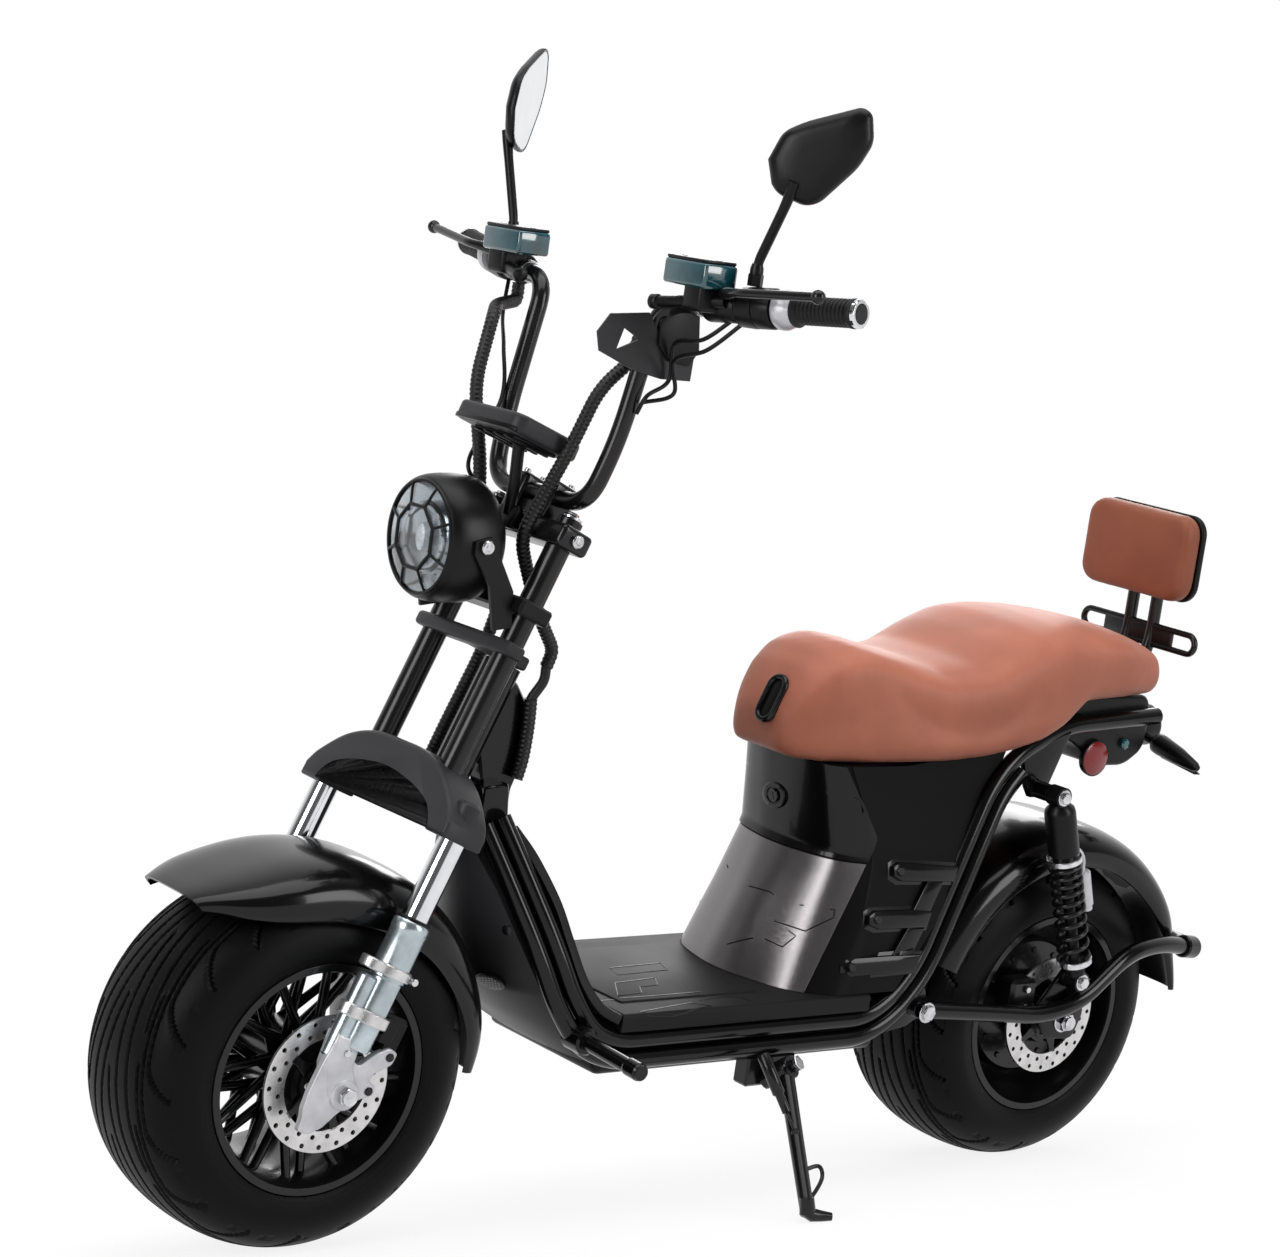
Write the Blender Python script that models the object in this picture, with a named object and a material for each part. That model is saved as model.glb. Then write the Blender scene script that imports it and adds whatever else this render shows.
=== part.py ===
"""A fat-tyred electric motor scooter on its side stand. Metres, +Z up, front towards -Y, +X its left."""

import math

import bmesh
import bpy
from mathutils import Matrix, Vector

GAP = 0.0003  # between pieces that touch
RUNNING = 0.0008  # round a pin that turns

# Stance
LEAN = math.radians(12.84)
STEER_REST = math.radians(-2.5)
ORIGIN_X = -0.2260
ORIGIN_Y = -0.0276

# Wheels
WHEEL_BASE = 1.196
TYRE_RADIUS = 0.221
RIM_LIP_RADIUS = 0.140
RIM_LIP_HALF = 0.098
RIM_WALL = 0.007
WHEEL_STEPS = 40
AXLE_RADIUS = 0.0095
HUB_RADIUS = 0.042
SPOKES = 10
DISC_RADIUS = 0.082
DISC_THICKNESS = 0.004
DISC_BOSS_RADIUS = 0.034
FRONT_DISC_X = 0.111
REAR_DISC_X = 0.104
MOTOR_RADIUS = 0.096
MOTOR_HALF = 0.058

# Steering and fork
RAKE = math.radians(23.0)
HEAD_Y = -0.3357
HEAD_Z = 0.720
FORK_OFFSET = 0.057
UPPER_SPREAD = 0.076
UPPER_RADIUS = 0.0155
LEG_SPREAD = 0.141
STANCHION_RADIUS = 0.0165
LOWER_RADIUS = 0.022
YOKE_TOP = -0.166
YOKE_FOOT = -0.250
YOKE_HALF_DEPTH = 0.031
LEG_TOP = -0.352
UPPER_TOP = 0.152
TOP_CLAMP_LOW = 0.114
TOP_CLAMP_HIGH = 0.142
MID_CLAMP_LOW = -0.028
MID_CLAMP_HIGH = -0.010
STEM_RADIUS = 0.0135
HEAD_TUBE_RADIUS = 0.024

# Handlebar
BAR_RADIUS = 0.011
GRIP_RADIUS = 0.0165
GRIP_INNER = 0.312
GRIP_OUTER = 0.392

# Frame
RAIL_RADIUS = 0.012
RAIL_PITCH = 0.0255  # between the two tubes of a side
RAIL_SPREAD = 0.1375
FLOOR_HALF = 0.150
FLOOR_LOW = 0.2660
FLOOR_HIGH = 0.290
TREAD_HIGH = 0.292
BOX_HALF = 0.112
BOX_LOW = 0.200
NECK_HALF = 0.030
SEAT_PIVOT_Y = 0.094
SEAT_PIVOT_Z = 0.600

# Rear end
ARM_SPREAD = 0.144
ARM_RADIUS = 0.012
PLATE_INNER = 0.124
PLATE_OUTER = 0.131
SHOCK_SPREAD = 0.147
REAR_FENDER_RADIUS = TYRE_RADIUS + 0.041
FRONT_FENDER_RADIUS = TYRE_RADIUS + 0.034
FENDER_HALF = 0.112
FENDER_WALL = 0.004
HOOP_ANGLE = 18.0  # up from the rear axle to the swingarm's hoop behind the fender
HOOP_CROWN = REAR_FENDER_RADIUS + 0.006
HOOP_SAG = 0.0009  # of the fender's facets under the hoop
ARM_PIVOT = Vector((0, 0.307, 0.260))
EYE_RADIUS = 0.014
EYE_HALF = 0.012
BOLT_RADIUS = 0.006

# Side stand
STAND_PIVOT = Vector((0.163, 0.062, 0.204))
STAND_FOOT_X = 0.323
STAND_FOOT_Y = -0.008
STAND_LEG_RADIUS = 0.010
STAND_EYE_RADIUS = 0.015
STAND_EYE_HALF = 0.011
STAND_PIN_RADIUS = 0.008

# Half of the tyre's section: (distance from the middle, radius)
TYRE_HALF_PROFILE = [
    (0.000, TYRE_RADIUS),
    (0.030, TYRE_RADIUS - 0.0012),
    (0.055, TYRE_RADIUS - 0.0055),
    (0.075, TYRE_RADIUS - 0.0135),
    (0.090, TYRE_RADIUS - 0.0260),
    (0.100, TYRE_RADIUS - 0.0430),
    (0.1035, TYRE_RADIUS - 0.0600),
    (0.100, RIM_LIP_RADIUS + 0.004),
]
TYRE_HALF_WIDTH = max(x for x, _ in TYRE_HALF_PROFILE)

for leftover in list(bpy.data.objects):
    bpy.data.objects.remove(leftover, do_unlink=True)


# Materials


def material(name, colour, roughness, metallic=0.0):
    made = bpy.data.materials.new(name)
    made.use_nodes = True
    surface = made.node_tree.nodes["Principled BSDF"]
    surface.inputs["Base Color"].default_value = (*colour, 1.0)
    surface.inputs["Roughness"].default_value = roughness
    surface.inputs["Metallic"].default_value = metallic
    return made


RUBBER = material("rubber", (0.012, 0.012, 0.013), 0.75)
GLOSS_BLACK = material("gloss_black", (0.008, 0.008, 0.009), 0.15)
SATIN_BLACK = material("satin_black", (0.020, 0.020, 0.022), 0.40)
DARK_GREY = material("dark_grey", (0.060, 0.060, 0.065), 0.50)
BLACK_STEEL = material("black_steel", (0.012, 0.012, 0.013), 0.28, 0.3)
CHROME = material("chrome", (0.75, 0.76, 0.78), 0.08, 1.0)
ZINC = material("zinc", (0.33, 0.40, 0.46), 0.35, 0.9)
STEEL = material("steel", (0.55, 0.55, 0.56), 0.28, 1.0)
TAN_LEATHER = material("tan_leather", (0.47, 0.16, 0.08), 0.55)
LENS = material("lens", (0.80, 0.83, 0.85), 0.08)


# Shapes: each function makes one closed mesh


def mesh_from(bm):
    bmesh.ops.remove_doubles(bm, verts=bm.verts, dist=1e-6)
    bmesh.ops.recalc_face_normals(bm, faces=bm.faces)
    mesh = bpy.data.meshes.new("shape")
    bm.to_mesh(mesh)
    bm.free()
    return mesh


def block(low, high, bevel=0.0, segments=1):
    """A box between two corners, its edges bevelled."""
    bm = bmesh.new()
    bmesh.ops.create_cube(bm, size=1.0)
    low, high = Vector(low), Vector(high)
    bmesh.ops.scale(bm, vec=high - low, verts=bm.verts)
    if bevel:
        bmesh.ops.bevel(bm, geom=bm.edges[:], offset=bevel, segments=segments, affect="EDGES")
    bmesh.ops.translate(bm, vec=(low + high) / 2, verts=bm.verts)
    return mesh_from(bm)


def rod(start, end, radius, sides=16, end_radius=None):
    """A round bar or cone from start to end."""
    start, end = Vector(start), Vector(end)
    run = end - start
    turn = Vector((0, 0, 1)).rotation_difference(run).to_matrix().to_4x4()
    bm = bmesh.new()
    bmesh.ops.create_cone(
        bm,
        cap_ends=True,
        segments=sides,
        radius1=radius,
        radius2=radius if end_radius is None else end_radius,
        depth=run.length,
        matrix=Matrix.Translation((start + end) / 2) @ turn,
    )
    return mesh_from(bm)


def turned(profile, axis="X", steps=WHEEL_STEPS, start=0.0, sweep=math.tau, centre=(0, 0, 0)):
    """A profile of (along, radius) points spun about an axis; less than a full turn gets flat ends."""
    bm = bmesh.new()
    along = {"X": Vector((1, 0, 0)), "Y": Vector((0, 1, 0)), "Z": Vector((0, 0, 1))}[axis]
    out = {"X": Vector((0, 1, 0)), "Y": Vector((0, 0, 1)), "Z": Vector((1, 0, 0))}[axis]
    out = Matrix.Rotation(start, 3, along) @ out
    verts = [bm.verts.new(along * a + out * r) for a, r in profile]
    on_axis = profile[0][1] == 0.0 and profile[-1][1] == 0.0
    edges = [bm.edges.new(pair) for pair in zip(verts, verts[1:])]
    if not on_axis:
        edges.append(bm.edges.new((verts[-1], verts[0])))
    full = abs(sweep - math.tau) < 1e-6
    if not full:
        bm.faces.new(verts)
    geometry = bm.verts[:] + bm.edges[:] + bm.faces[:]
    bmesh.ops.spin(
        bm, geom=geometry, cent=(0, 0, 0), axis=along, angle=sweep, steps=steps, use_duplicate=False
    )
    bmesh.ops.translate(bm, vec=centre, verts=bm.verts)
    return mesh_from(bm)


def prism(outline, low, high, axis="X", bevel=0.0):
    """A flat outline drawn out along an axis: X takes (y, z) points, Y takes (x, z) and Z takes (x, y)."""
    spread = {
        "X": lambda p: (low, p[0], p[1]),
        "Y": lambda p: (p[0], low, p[1]),
        "Z": lambda p: (p[0], p[1], low),
    }[axis]
    step = {"X": (high - low, 0, 0), "Y": (0, high - low, 0), "Z": (0, 0, high - low)}[axis]
    bm = bmesh.new()
    face = bm.faces.new([bm.verts.new(spread(p)) for p in outline])
    drawn = bmesh.ops.extrude_face_region(bm, geom=[face])
    moved = [g for g in drawn["geom"] if isinstance(g, bmesh.types.BMVert)]
    bmesh.ops.translate(bm, vec=step, verts=moved)
    if bevel:
        bmesh.ops.recalc_face_normals(bm, faces=bm.faces)
        bmesh.ops.bevel(bm, geom=bm.edges[:], offset=bevel, segments=1, affect="EDGES")
    return mesh_from(bm)


def loft(sections):
    """A closed skin over loops of points that all have the same count."""
    bm = bmesh.new()
    loops = [[bm.verts.new(p) for p in section] for section in sections]
    count = len(loops[0])
    for one, two in zip(loops, loops[1:]):
        for i in range(count):
            j = (i + 1) % count
            bm.faces.new((one[i], one[j], two[j], two[i]))
    bm.faces.new(loops[0])
    bm.faces.new(loops[-1])
    return mesh_from(bm)


def rounded(points, radius, steps=4):
    """The path through these points with each corner replaced by an arc-like bend."""
    points = [Vector(p) for p in points]
    path = [points[0]]
    for before, corner, after in zip(points, points[1:], points[2:]):
        reach = min(radius, (before - corner).length * 0.45, (after - corner).length * 0.45)
        first = corner + (before - corner).normalized() * reach
        last = corner + (after - corner).normalized() * reach
        for i in range(steps + 1):
            t = i / steps
            path.append(first * (1 - t) ** 2 + corner * 2 * t * (1 - t) + last * t**2)
    return path + [points[-1]]


def tube(points, radius, bend=0.05, resolution=3, steps=4):
    """A round tube along a path with bent corners."""
    curve = bpy.data.curves.new("path", "CURVE")
    curve.dimensions = "3D"
    curve.bevel_depth = radius
    curve.bevel_resolution = resolution
    curve.use_fill_caps = True
    path = rounded(points, bend, steps) if bend else [Vector(p) for p in points]
    spline = curve.splines.new("POLY")
    spline.points.add(len(path) - 1)
    for point, place in zip(spline.points, path):
        point.co = (*place, 1.0)
    holder = bpy.data.objects.new("path", curve)
    bpy.context.scene.collection.objects.link(holder)
    bpy.context.view_layer.update()
    drawn = holder.evaluated_get(bpy.context.evaluated_depsgraph_get())
    bm = bmesh.new()
    bm.from_mesh(bpy.data.meshes.new_from_object(drawn))
    bpy.data.objects.remove(holder, do_unlink=True)
    return mesh_from(bm)


# Placing and joining


def empty(name, parent=None, location=(0, 0, 0), rotation=(0, 0, 0)):
    made = bpy.data.objects.new(name, None)
    made.parent = parent
    made.location = location
    made.rotation_euler = rotation
    bpy.context.scene.collection.objects.link(made)
    return made


def piece(name, mesh, surface, parent, location=(0, 0, 0), rotation=(0, 0, 0), smooth=35.0):
    made = bpy.data.objects.new(name, mesh)
    mesh.materials.clear()
    mesh.materials.append(surface)
    made.parent = parent
    made.location = location
    made.rotation_euler = rotation
    bpy.context.scene.collection.objects.link(made)
    mesh.shade_smooth()
    mesh.set_sharp_from_angle(angle=math.radians(smooth))
    return made


def joined(shapes, cuts=()):
    """The first shape united with the others, then cut."""
    helpers = []

    def helper(mesh):
        made = bpy.data.objects.new("helper", mesh)
        bpy.context.scene.collection.objects.link(made)
        helpers.append(made)
        return made

    base = helper(shapes[0])
    tools = [("UNION", s) for s in shapes[1:]] + [("DIFFERENCE", c) for c in cuts]
    for operation, mesh in tools:
        modifier = base.modifiers.new(operation, "BOOLEAN")
        modifier.operation = operation
        modifier.solver = "EXACT"
        modifier.object = helper(mesh)
    bpy.context.view_layer.update()
    done = base.evaluated_get(bpy.context.evaluated_depsgraph_get())
    mesh = bpy.data.meshes.new_from_object(done)
    for made in helpers:
        bpy.data.objects.remove(made, do_unlink=True)
    return mesh


def both_sides(points, side):
    return [(side * x, y, z) for x, y, z in points]


SIDES = (("left", 1), ("right", -1))

# Frames that the pieces hang from
# The tyres' lowest point, once leaned, sets how high the scooter stands.
LIFT = max(x * math.sin(LEAN) - (TYRE_RADIUS - r) * math.cos(LEAN) for x, r in TYRE_HALF_PROFILE)
LEAN_TURN = Matrix.Rotation(LEAN, 3, "Y")
HEAD_TURN = Matrix.Rotation(-RAKE, 3, "X")
HEAD = Vector((0.0, HEAD_Y, HEAD_Z))
FRONT_AXLE = Vector((0.0, -WHEEL_BASE / 2, TYRE_RADIUS))
REAR_AXLE = Vector((0.0, WHEEL_BASE / 2, TYRE_RADIUS))


def on_floor(x, y, height=0.0):
    """A point above the floor, in the upright scooter's own frame."""
    return LEAN_TURN.inverted() @ Vector((x, y, height - LIFT))


vehicle = empty("vehicle", None, (ORIGIN_X, ORIGIN_Y, LIFT), (0, LEAN, 0))
steering_axis = empty("steering_axis", vehicle, HEAD, (-RAKE, 0, 0))
steering = empty("steering", steering_axis, (0, 0, 0), (0, 0, STEER_REST))
# Pieces of the front that are drawn in the upright scooter's own frame, wheel straight
front = empty("front", steering, HEAD_TURN.inverted() @ -HEAD, (RAKE, 0, 0))
front_wheel = empty("front_wheel_axis", front, FRONT_AXLE)
rear_wheel = empty("rear_wheel_axis", vehicle, REAR_AXLE)
stand_axis = empty("side_stand_axis", vehicle, STAND_PIVOT)
seat_axis = empty("seat_axis", vehicle, (0, SEAT_PIVOT_Y, SEAT_PIVOT_Z))
AXLE = HEAD_TURN.inverted() @ (FRONT_AXLE - HEAD)  # the front axle in the fork's own frame


# Wheels


def tyre():
    outer = [(-x, r) for x, r in reversed(TYRE_HALF_PROFILE[1:])] + TYRE_HALF_PROFILE
    bead = RIM_LIP_HALF - RIM_WALL
    lip = RIM_LIP_RADIUS + GAP * 2
    barrel = RIM_LIP_RADIUS - RIM_WALL + GAP
    inner = [(RIM_LIP_HALF, lip), (bead - GAP, lip), (bead - GAP, barrel)]
    return turned(outer + inner + [(-x, r) for x, r in reversed(inner)])


def rim_ring():
    lip, low = RIM_LIP_RADIUS, RIM_LIP_RADIUS - RIM_WALL
    bead = RIM_LIP_HALF - RIM_WALL
    half = [(bead, low), (bead, lip), (RIM_LIP_HALF, lip), (RIM_LIP_HALF, low - 0.004), (0.060, low - 0.010)]
    return turned([(-x, r) for x, r in half[::-1]] + half)


def front_rim():
    """Barrel, hub and crossed spokes in two rows, as a wire-look cast wheel has."""
    boss = FRONT_DISC_X - DISC_THICKNESS / 2
    hub = turned(
        [
            (-0.080, AXLE_RADIUS + GAP),
            (-0.080, 0.026),
            (-0.052, HUB_RADIUS),
            (0.052, HUB_RADIUS),
            (boss - GAP, DISC_BOSS_RADIUS + 0.010),
            (boss - GAP, AXLE_RADIUS + GAP),
        ],
        steps=16,
    )
    shapes = [rim_ring(), hub]
    reach = RIM_LIP_RADIUS - RIM_WALL - 0.004
    for i in range(SPOKES):
        for lead, x in ((-0.30, 0.060), (0.31, 0.067)):
            at = (i + lead * 0.3) * math.tau / SPOKES
            out = i * math.tau / SPOKES + lead
            start = (x - 0.022, (HUB_RADIUS - 0.006) * math.cos(at), (HUB_RADIUS - 0.006) * math.sin(at))
            end = (x, reach * math.cos(out), reach * math.sin(out))
            shapes.append(rod(start, end, 0.0056, 4))
    return joined(shapes)


def rear_rim():
    """A rim with the flat drum of the hub motor inside it."""
    drum = turned(
        [
            (-MOTOR_HALF - 0.018, AXLE_RADIUS + GAP),
            (-MOTOR_HALF - 0.018, 0.036),
            (-MOTOR_HALF, 0.052),
            (-MOTOR_HALF, MOTOR_RADIUS),
            (MOTOR_HALF, MOTOR_RADIUS),
            (MOTOR_HALF, 0.052),
            (REAR_DISC_X - DISC_THICKNESS / 2 - GAP, DISC_BOSS_RADIUS + 0.006),
            (REAR_DISC_X - DISC_THICKNESS / 2 - GAP, AXLE_RADIUS + GAP),
        ],
        steps=20,
    )
    web = turned([(-0.012, 0.090), (-0.012, 0.128), (0.012, 0.128), (0.012, 0.090)], steps=20)
    return joined([rim_ring(), drum, web])


def disc(x):
    half = DISC_THICKNESS / 2
    ring = [(x - half, 0.052), (x - half, DISC_RADIUS), (x + half, DISC_RADIUS), (x + half, 0.052)]
    boss_low = AXLE_RADIUS + GAP
    near, far = x - half, x + half
    boss = [(near, boss_low), (near, DISC_BOSS_RADIUS), (far, DISC_BOSS_RADIUS), (far, boss_low)]
    arms = []
    for i in range(5):
        turn = Matrix.Rotation(i * math.tau / 5, 4, "X")
        arm = block((x - half, 0.030, -0.007), (x + half, 0.056, 0.007))
        arm.transform(turn)
        arms.append(arm)
    return joined([turned(ring, steps=28), turned(boss, steps=14)] + arms)


piece("front_tyre", tyre(), RUBBER, front_wheel)
piece("front_rim", front_rim(), BLACK_STEEL, front_wheel)
piece("front_disc", disc(FRONT_DISC_X), STEEL, front_wheel)
piece("rear_tyre", tyre(), RUBBER, rear_wheel)
piece("rear_rim", rear_rim(), BLACK_STEEL, rear_wheel)
piece("rear_disc", disc(REAR_DISC_X), STEEL, rear_wheel)


# Fork, in the frame of the steering axis: z up along it, -y ahead of it


STANCHION_SOCKET = 0.060
UPPER_SOCKET = 0.030


def fork_yoke():
    depth = (-FORK_OFFSET - YOKE_HALF_DEPTH, -FORK_OFFSET + YOKE_HALF_DEPTH)
    # Right half of the arch from the top middle round the foot to the underside: (x, z)
    half = [
        (0.055, YOKE_TOP),
        (0.105, YOKE_TOP - 0.016),
        (0.150, YOKE_TOP - 0.048),
        (0.161, YOKE_TOP - 0.060),
        (0.161, YOKE_FOOT),
        (0.119, YOKE_FOOT),
        (0.112, YOKE_TOP - 0.070),
        (0.060, YOKE_TOP - 0.048),
    ]
    outline = half + [(-x, z) for x, z in reversed(half)]
    arch = prism(outline, depth[0], depth[1], "Y", 0.005)
    lug = block((-0.026, -FORK_OFFSET, YOKE_TOP - 0.044), (0.026, 0.026, YOKE_TOP - 0.010), 0.004)
    stem = rod((0, 0, YOKE_TOP - 0.030), (0, 0, MID_CLAMP_LOW - GAP), STEM_RADIUS, 14)
    sockets = []
    for _, side in SIDES:
        x = side * LEG_SPREAD
        low, high = YOKE_FOOT - 0.01, YOKE_FOOT + STANCHION_SOCKET
        sockets.append(rod((x, -FORK_OFFSET, low), (x, -FORK_OFFSET, high), STANCHION_RADIUS + GAP, 14))
        x = side * UPPER_SPREAD
        low, high = YOKE_TOP - UPPER_SOCKET, YOKE_TOP + 0.02
        sockets.append(rod((x, -FORK_OFFSET, low), (x, -FORK_OFFSET, high), UPPER_RADIUS + GAP, 14))
    return joined([arch, lug, stem], sockets)


def clamp(low, high, half_width, front_y, back_y, stem):
    """A flat clamp with holes for the two upper tubes, and an eye over the stem where stem is its radius."""
    shapes = [block((-half_width, front_y, low), (half_width, back_y, high), 0.004)]
    cuts = []
    for _, side in SIDES:
        x = side * UPPER_SPREAD
        low_end, high_end = (x, -FORK_OFFSET, low - 0.01), (x, -FORK_OFFSET, high + 0.01)
        cuts.append(rod(low_end, high_end, UPPER_RADIUS + GAP, 14))
    if stem:
        shapes.append(block((-0.022, back_y - 0.01, low), (0.022, stem, high), 0.003))
    return joined(shapes, cuts)


piece("fork_yoke", fork_yoke(), DARK_GREY, steering)
piece(
    "middle_clamp",
    clamp(MID_CLAMP_LOW, MID_CLAMP_HIGH, 0.098, -FORK_OFFSET - 0.021, -FORK_OFFSET + 0.021, 0.020),
    DARK_GREY,
    steering,
)


def top_clamp():
    base = clamp(TOP_CLAMP_LOW, TOP_CLAMP_HIGH, 0.104, -FORK_OFFSET - 0.024, -FORK_OFFSET + 0.024, 0.0)
    risers = []
    cuts = []
    for _, side in SIDES:
        x = side * 0.030
        low = (x - 0.014, -FORK_OFFSET - 0.020, TOP_CLAMP_HIGH - 0.004)
        risers.append(block(low, (x + 0.014, -FORK_OFFSET + 0.020, 0.190), 0.004))
    cuts.append(rod((-0.06, -0.062, 0.1713), (0.06, -0.062, 0.1713), BAR_RADIUS + RUNNING, 12))
    return joined([base] + risers, cuts)


piece("top_clamp", top_clamp(), BLACK_STEEL, steering)


LEG_SOCKET = 0.040
LUG_HALF = 0.014
LUG_BACK = 0.024
LUG_DROP = 0.140
RING_HALF = 0.019
RING_BACK = 0.026
RING_LOW = 0.130
RING_HIGH = 0.108


def lower_leg(side):
    """Slider with two clamp rings, a forward tube and the flat lug that holds the axle."""
    x = side * LEG_SPREAD
    y = -FORK_OFFSET
    ahead = y - 0.024
    shapes = [
        rod((x, y, LEG_TOP), (x, y, LEG_TOP - 0.150), LOWER_RADIUS, 14),
        rod((x, y, LEG_TOP - 0.050), (x, y, LEG_TOP - 0.072), LOWER_RADIUS + 0.005, 14),
        rod((x, ahead, LEG_TOP - 0.085), (x, ahead, LEG_TOP - 0.178), 0.014, 12),
        block(
            (x - RING_HALF, ahead - 0.016, LEG_TOP - RING_LOW),
            (x + RING_HALF, y + RING_BACK, LEG_TOP - RING_HIGH),
            0.004,
        ),
        block(
            (x - LUG_HALF, ahead - 0.010, AXLE.z - 0.022),
            (x + LUG_HALF, AXLE.y + LUG_BACK, LEG_TOP - LUG_DROP),
            0.004,
        ),
        rod((side * (FENDER_HALF + GAP), y, LEG_TOP - 0.014), (x, y, LEG_TOP - 0.014), 0.010, 12),
    ]
    hole = rod((x - 0.03, AXLE.y, AXLE.z), (x + 0.03, AXLE.y, AXLE.z), AXLE_RADIUS + GAP, 12)
    socket = rod((x, y, LEG_TOP - LEG_SOCKET), (x, y, LEG_TOP + 0.01), STANCHION_RADIUS + GAP, 14)
    return joined(shapes, [hole, socket])


for name, side in SIDES:
    x = side * LEG_SPREAD
    low, high = LEG_TOP - LEG_SOCKET + GAP, YOKE_FOOT + STANCHION_SOCKET - GAP
    stanchion = rod((x, -FORK_OFFSET, low), (x, -FORK_OFFSET, high), STANCHION_RADIUS, 14)
    piece(f"stanchion_{name}", stanchion, CHROME, steering)
    piece(f"fork_leg_{name}", lower_leg(side), ZINC, steering)
    x = side * UPPER_SPREAD
    low = YOKE_TOP - UPPER_SOCKET + GAP
    upper = rod((x, -FORK_OFFSET, low), (x, -FORK_OFFSET, UPPER_TOP), UPPER_RADIUS, 14)
    piece(f"upper_tube_{name}", upper, BLACK_STEEL, steering)

axle_reach = LEG_SPREAD + 0.026
piece("front_axle", rod((-axle_reach, 0, 0), (axle_reach, 0, 0), AXLE_RADIUS, 12), STEEL, front_wheel)


def front_caliper():
    x = FRONT_DISC_X
    y, z = -FORK_OFFSET, AXLE.z
    body = block((x - 0.018, y + 0.026, z + 0.054), (x + 0.017, y + 0.072, z + 0.104), 0.005)
    ear = block((x + 0.006, y + LOWER_RADIUS + GAP, z + 0.058), (LEG_SPREAD + 0.006, y + 0.045, z + 0.100), 0.003)
    slot = rod((x - 0.004, AXLE.y, z), (x + 0.004, AXLE.y, z), DISC_RADIUS + 0.003, 28)
    leg = rod((LEG_SPREAD, y, LEG_TOP), (LEG_SPREAD, y, LEG_TOP - 0.2), LOWER_RADIUS + GAP, 14)
    inner, outer = LEG_SPREAD - LUG_HALF - GAP, LEG_SPREAD + LUG_HALF + GAP
    lug = block((inner, -0.2, z - 0.03), (outer, AXLE.y + LUG_BACK + GAP, LEG_TOP - LUG_DROP + GAP))
    inner, outer = LEG_SPREAD - RING_HALF - GAP, LEG_SPREAD + RING_HALF + GAP
    ring = block((inner, -0.2, LEG_TOP - RING_LOW - GAP), (outer, y + RING_BACK + GAP, LEG_TOP - RING_HIGH + GAP))
    return joined([body, ear], [slot, leg, lug, ring])


piece("front_caliper", front_caliper(), SATIN_BLACK, steering)


# Fenders: an arched shell carried round its axle


FENDER_FLATNESS = 0.62


def fender(stations, skirt_points=5):
    """Stations of (angle in degrees up from the rear, crown radius, half width, drop of the edge)."""
    sections = []
    for angle, crown, half, drop in stations:
        a = math.radians(angle)
        out = Vector((0, math.cos(a), math.sin(a)))
        outer = []
        inner = []
        for i in range(-skirt_points, skirt_points + 1):
            t = abs(i) / skirt_points * math.pi / 2
            x = math.copysign(half * math.sin(t) ** FENDER_FLATNESS, i)
            fall = drop * (1 - max(0.0, math.cos(t)) ** FENDER_FLATNESS)
            outer.append(Vector((x, 0, 0)) + out * (crown - fall))
            narrow = 1 - FENDER_WALL / half
            inner.append(Vector((x * narrow, 0, 0)) + out * (crown - FENDER_WALL - fall))
        sections.append(outer + inner[::-1])
    return loft(sections)


# angle, crown radius, half width, drop of the edge
FRONT_FENDER = [
    (-5.0, FRONT_FENDER_RADIUS - 0.003, 0.056, 0.018),
    (10.0, FRONT_FENDER_RADIUS - 0.007, 0.084, 0.032),
    (30.0, FRONT_FENDER_RADIUS - 0.007, 0.100, 0.048),
    (50.0, FRONT_FENDER_RADIUS - 0.003, 0.111, 0.060),
    (70.0, FRONT_FENDER_RADIUS, FENDER_HALF, 0.066),
    (90.0, FRONT_FENDER_RADIUS - 0.001, FENDER_HALF, 0.062),
    (108.0, FRONT_FENDER_RADIUS, 0.109, 0.050),
    (120.0, FRONT_FENDER_RADIUS + 0.007, 0.096, 0.036),
    (129.0, FRONT_FENDER_RADIUS + 0.017, 0.066, 0.018),
]
REAR_FENDER = [
    (4.0, HOOP_CROWN + 0.002, 0.100, 0.016),
    (HOOP_ANGLE, HOOP_CROWN, 0.104, 0.030),
    (32.0, REAR_FENDER_RADIUS + 0.010, FENDER_HALF, 0.044),
    (50.0, REAR_FENDER_RADIUS + 0.009, FENDER_HALF, 0.050),
    (74.0, REAR_FENDER_RADIUS + 0.005, FENDER_HALF, 0.050),
    (98.0, REAR_FENDER_RADIUS + 0.002, FENDER_HALF, 0.050),
    (120.0, REAR_FENDER_RADIUS, FENDER_HALF, 0.050),
    (142.0, REAR_FENDER_RADIUS, FENDER_HALF, 0.050),
    (160.0, REAR_FENDER_RADIUS, FENDER_HALF, 0.050),
]
piece("front_fender", fender(FRONT_FENDER), GLOSS_BLACK, front, FRONT_AXLE)
piece("rear_fender", fender(REAR_FENDER), GLOSS_BLACK, vehicle, REAR_AXLE)


# Handlebar, grips, controls and mirrors, drawn wheel straight in the scooter's own frame

BAR_LOW = HEAD + HEAD_TURN @ Vector((0, -0.062, 0.1713))
RISER_X = 0.118
# Right half of the bar from the clamp out to the end: (x, y, z)
BAR_HALF = [
    (0.098, BAR_LOW.y, BAR_LOW.z),
    (0.116, -0.306, 0.985),
    (RISER_X, -0.272, 1.148),
    (0.398, -0.205, 1.173),
]


def bar_point(x, lift=0.0, ahead=0.0):
    """A point beside the bar's outer run, at this distance from the middle."""
    inner, outer = Vector(BAR_HALF[2]), Vector(BAR_HALF[3])
    side = 1 if x > 0 else -1
    t = (abs(x) - inner.x) / (outer.x - inner.x)
    at = inner.lerp(outer, t)
    return Vector((side * at.x, at.y - ahead, at.z + lift))


bar_path = [(-x, y, z) for x, y, z in reversed(BAR_HALF)] + BAR_HALF
piece("handlebar", tube(bar_path, BAR_RADIUS, 0.038, 2, 3), BLACK_STEEL, front)

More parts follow.
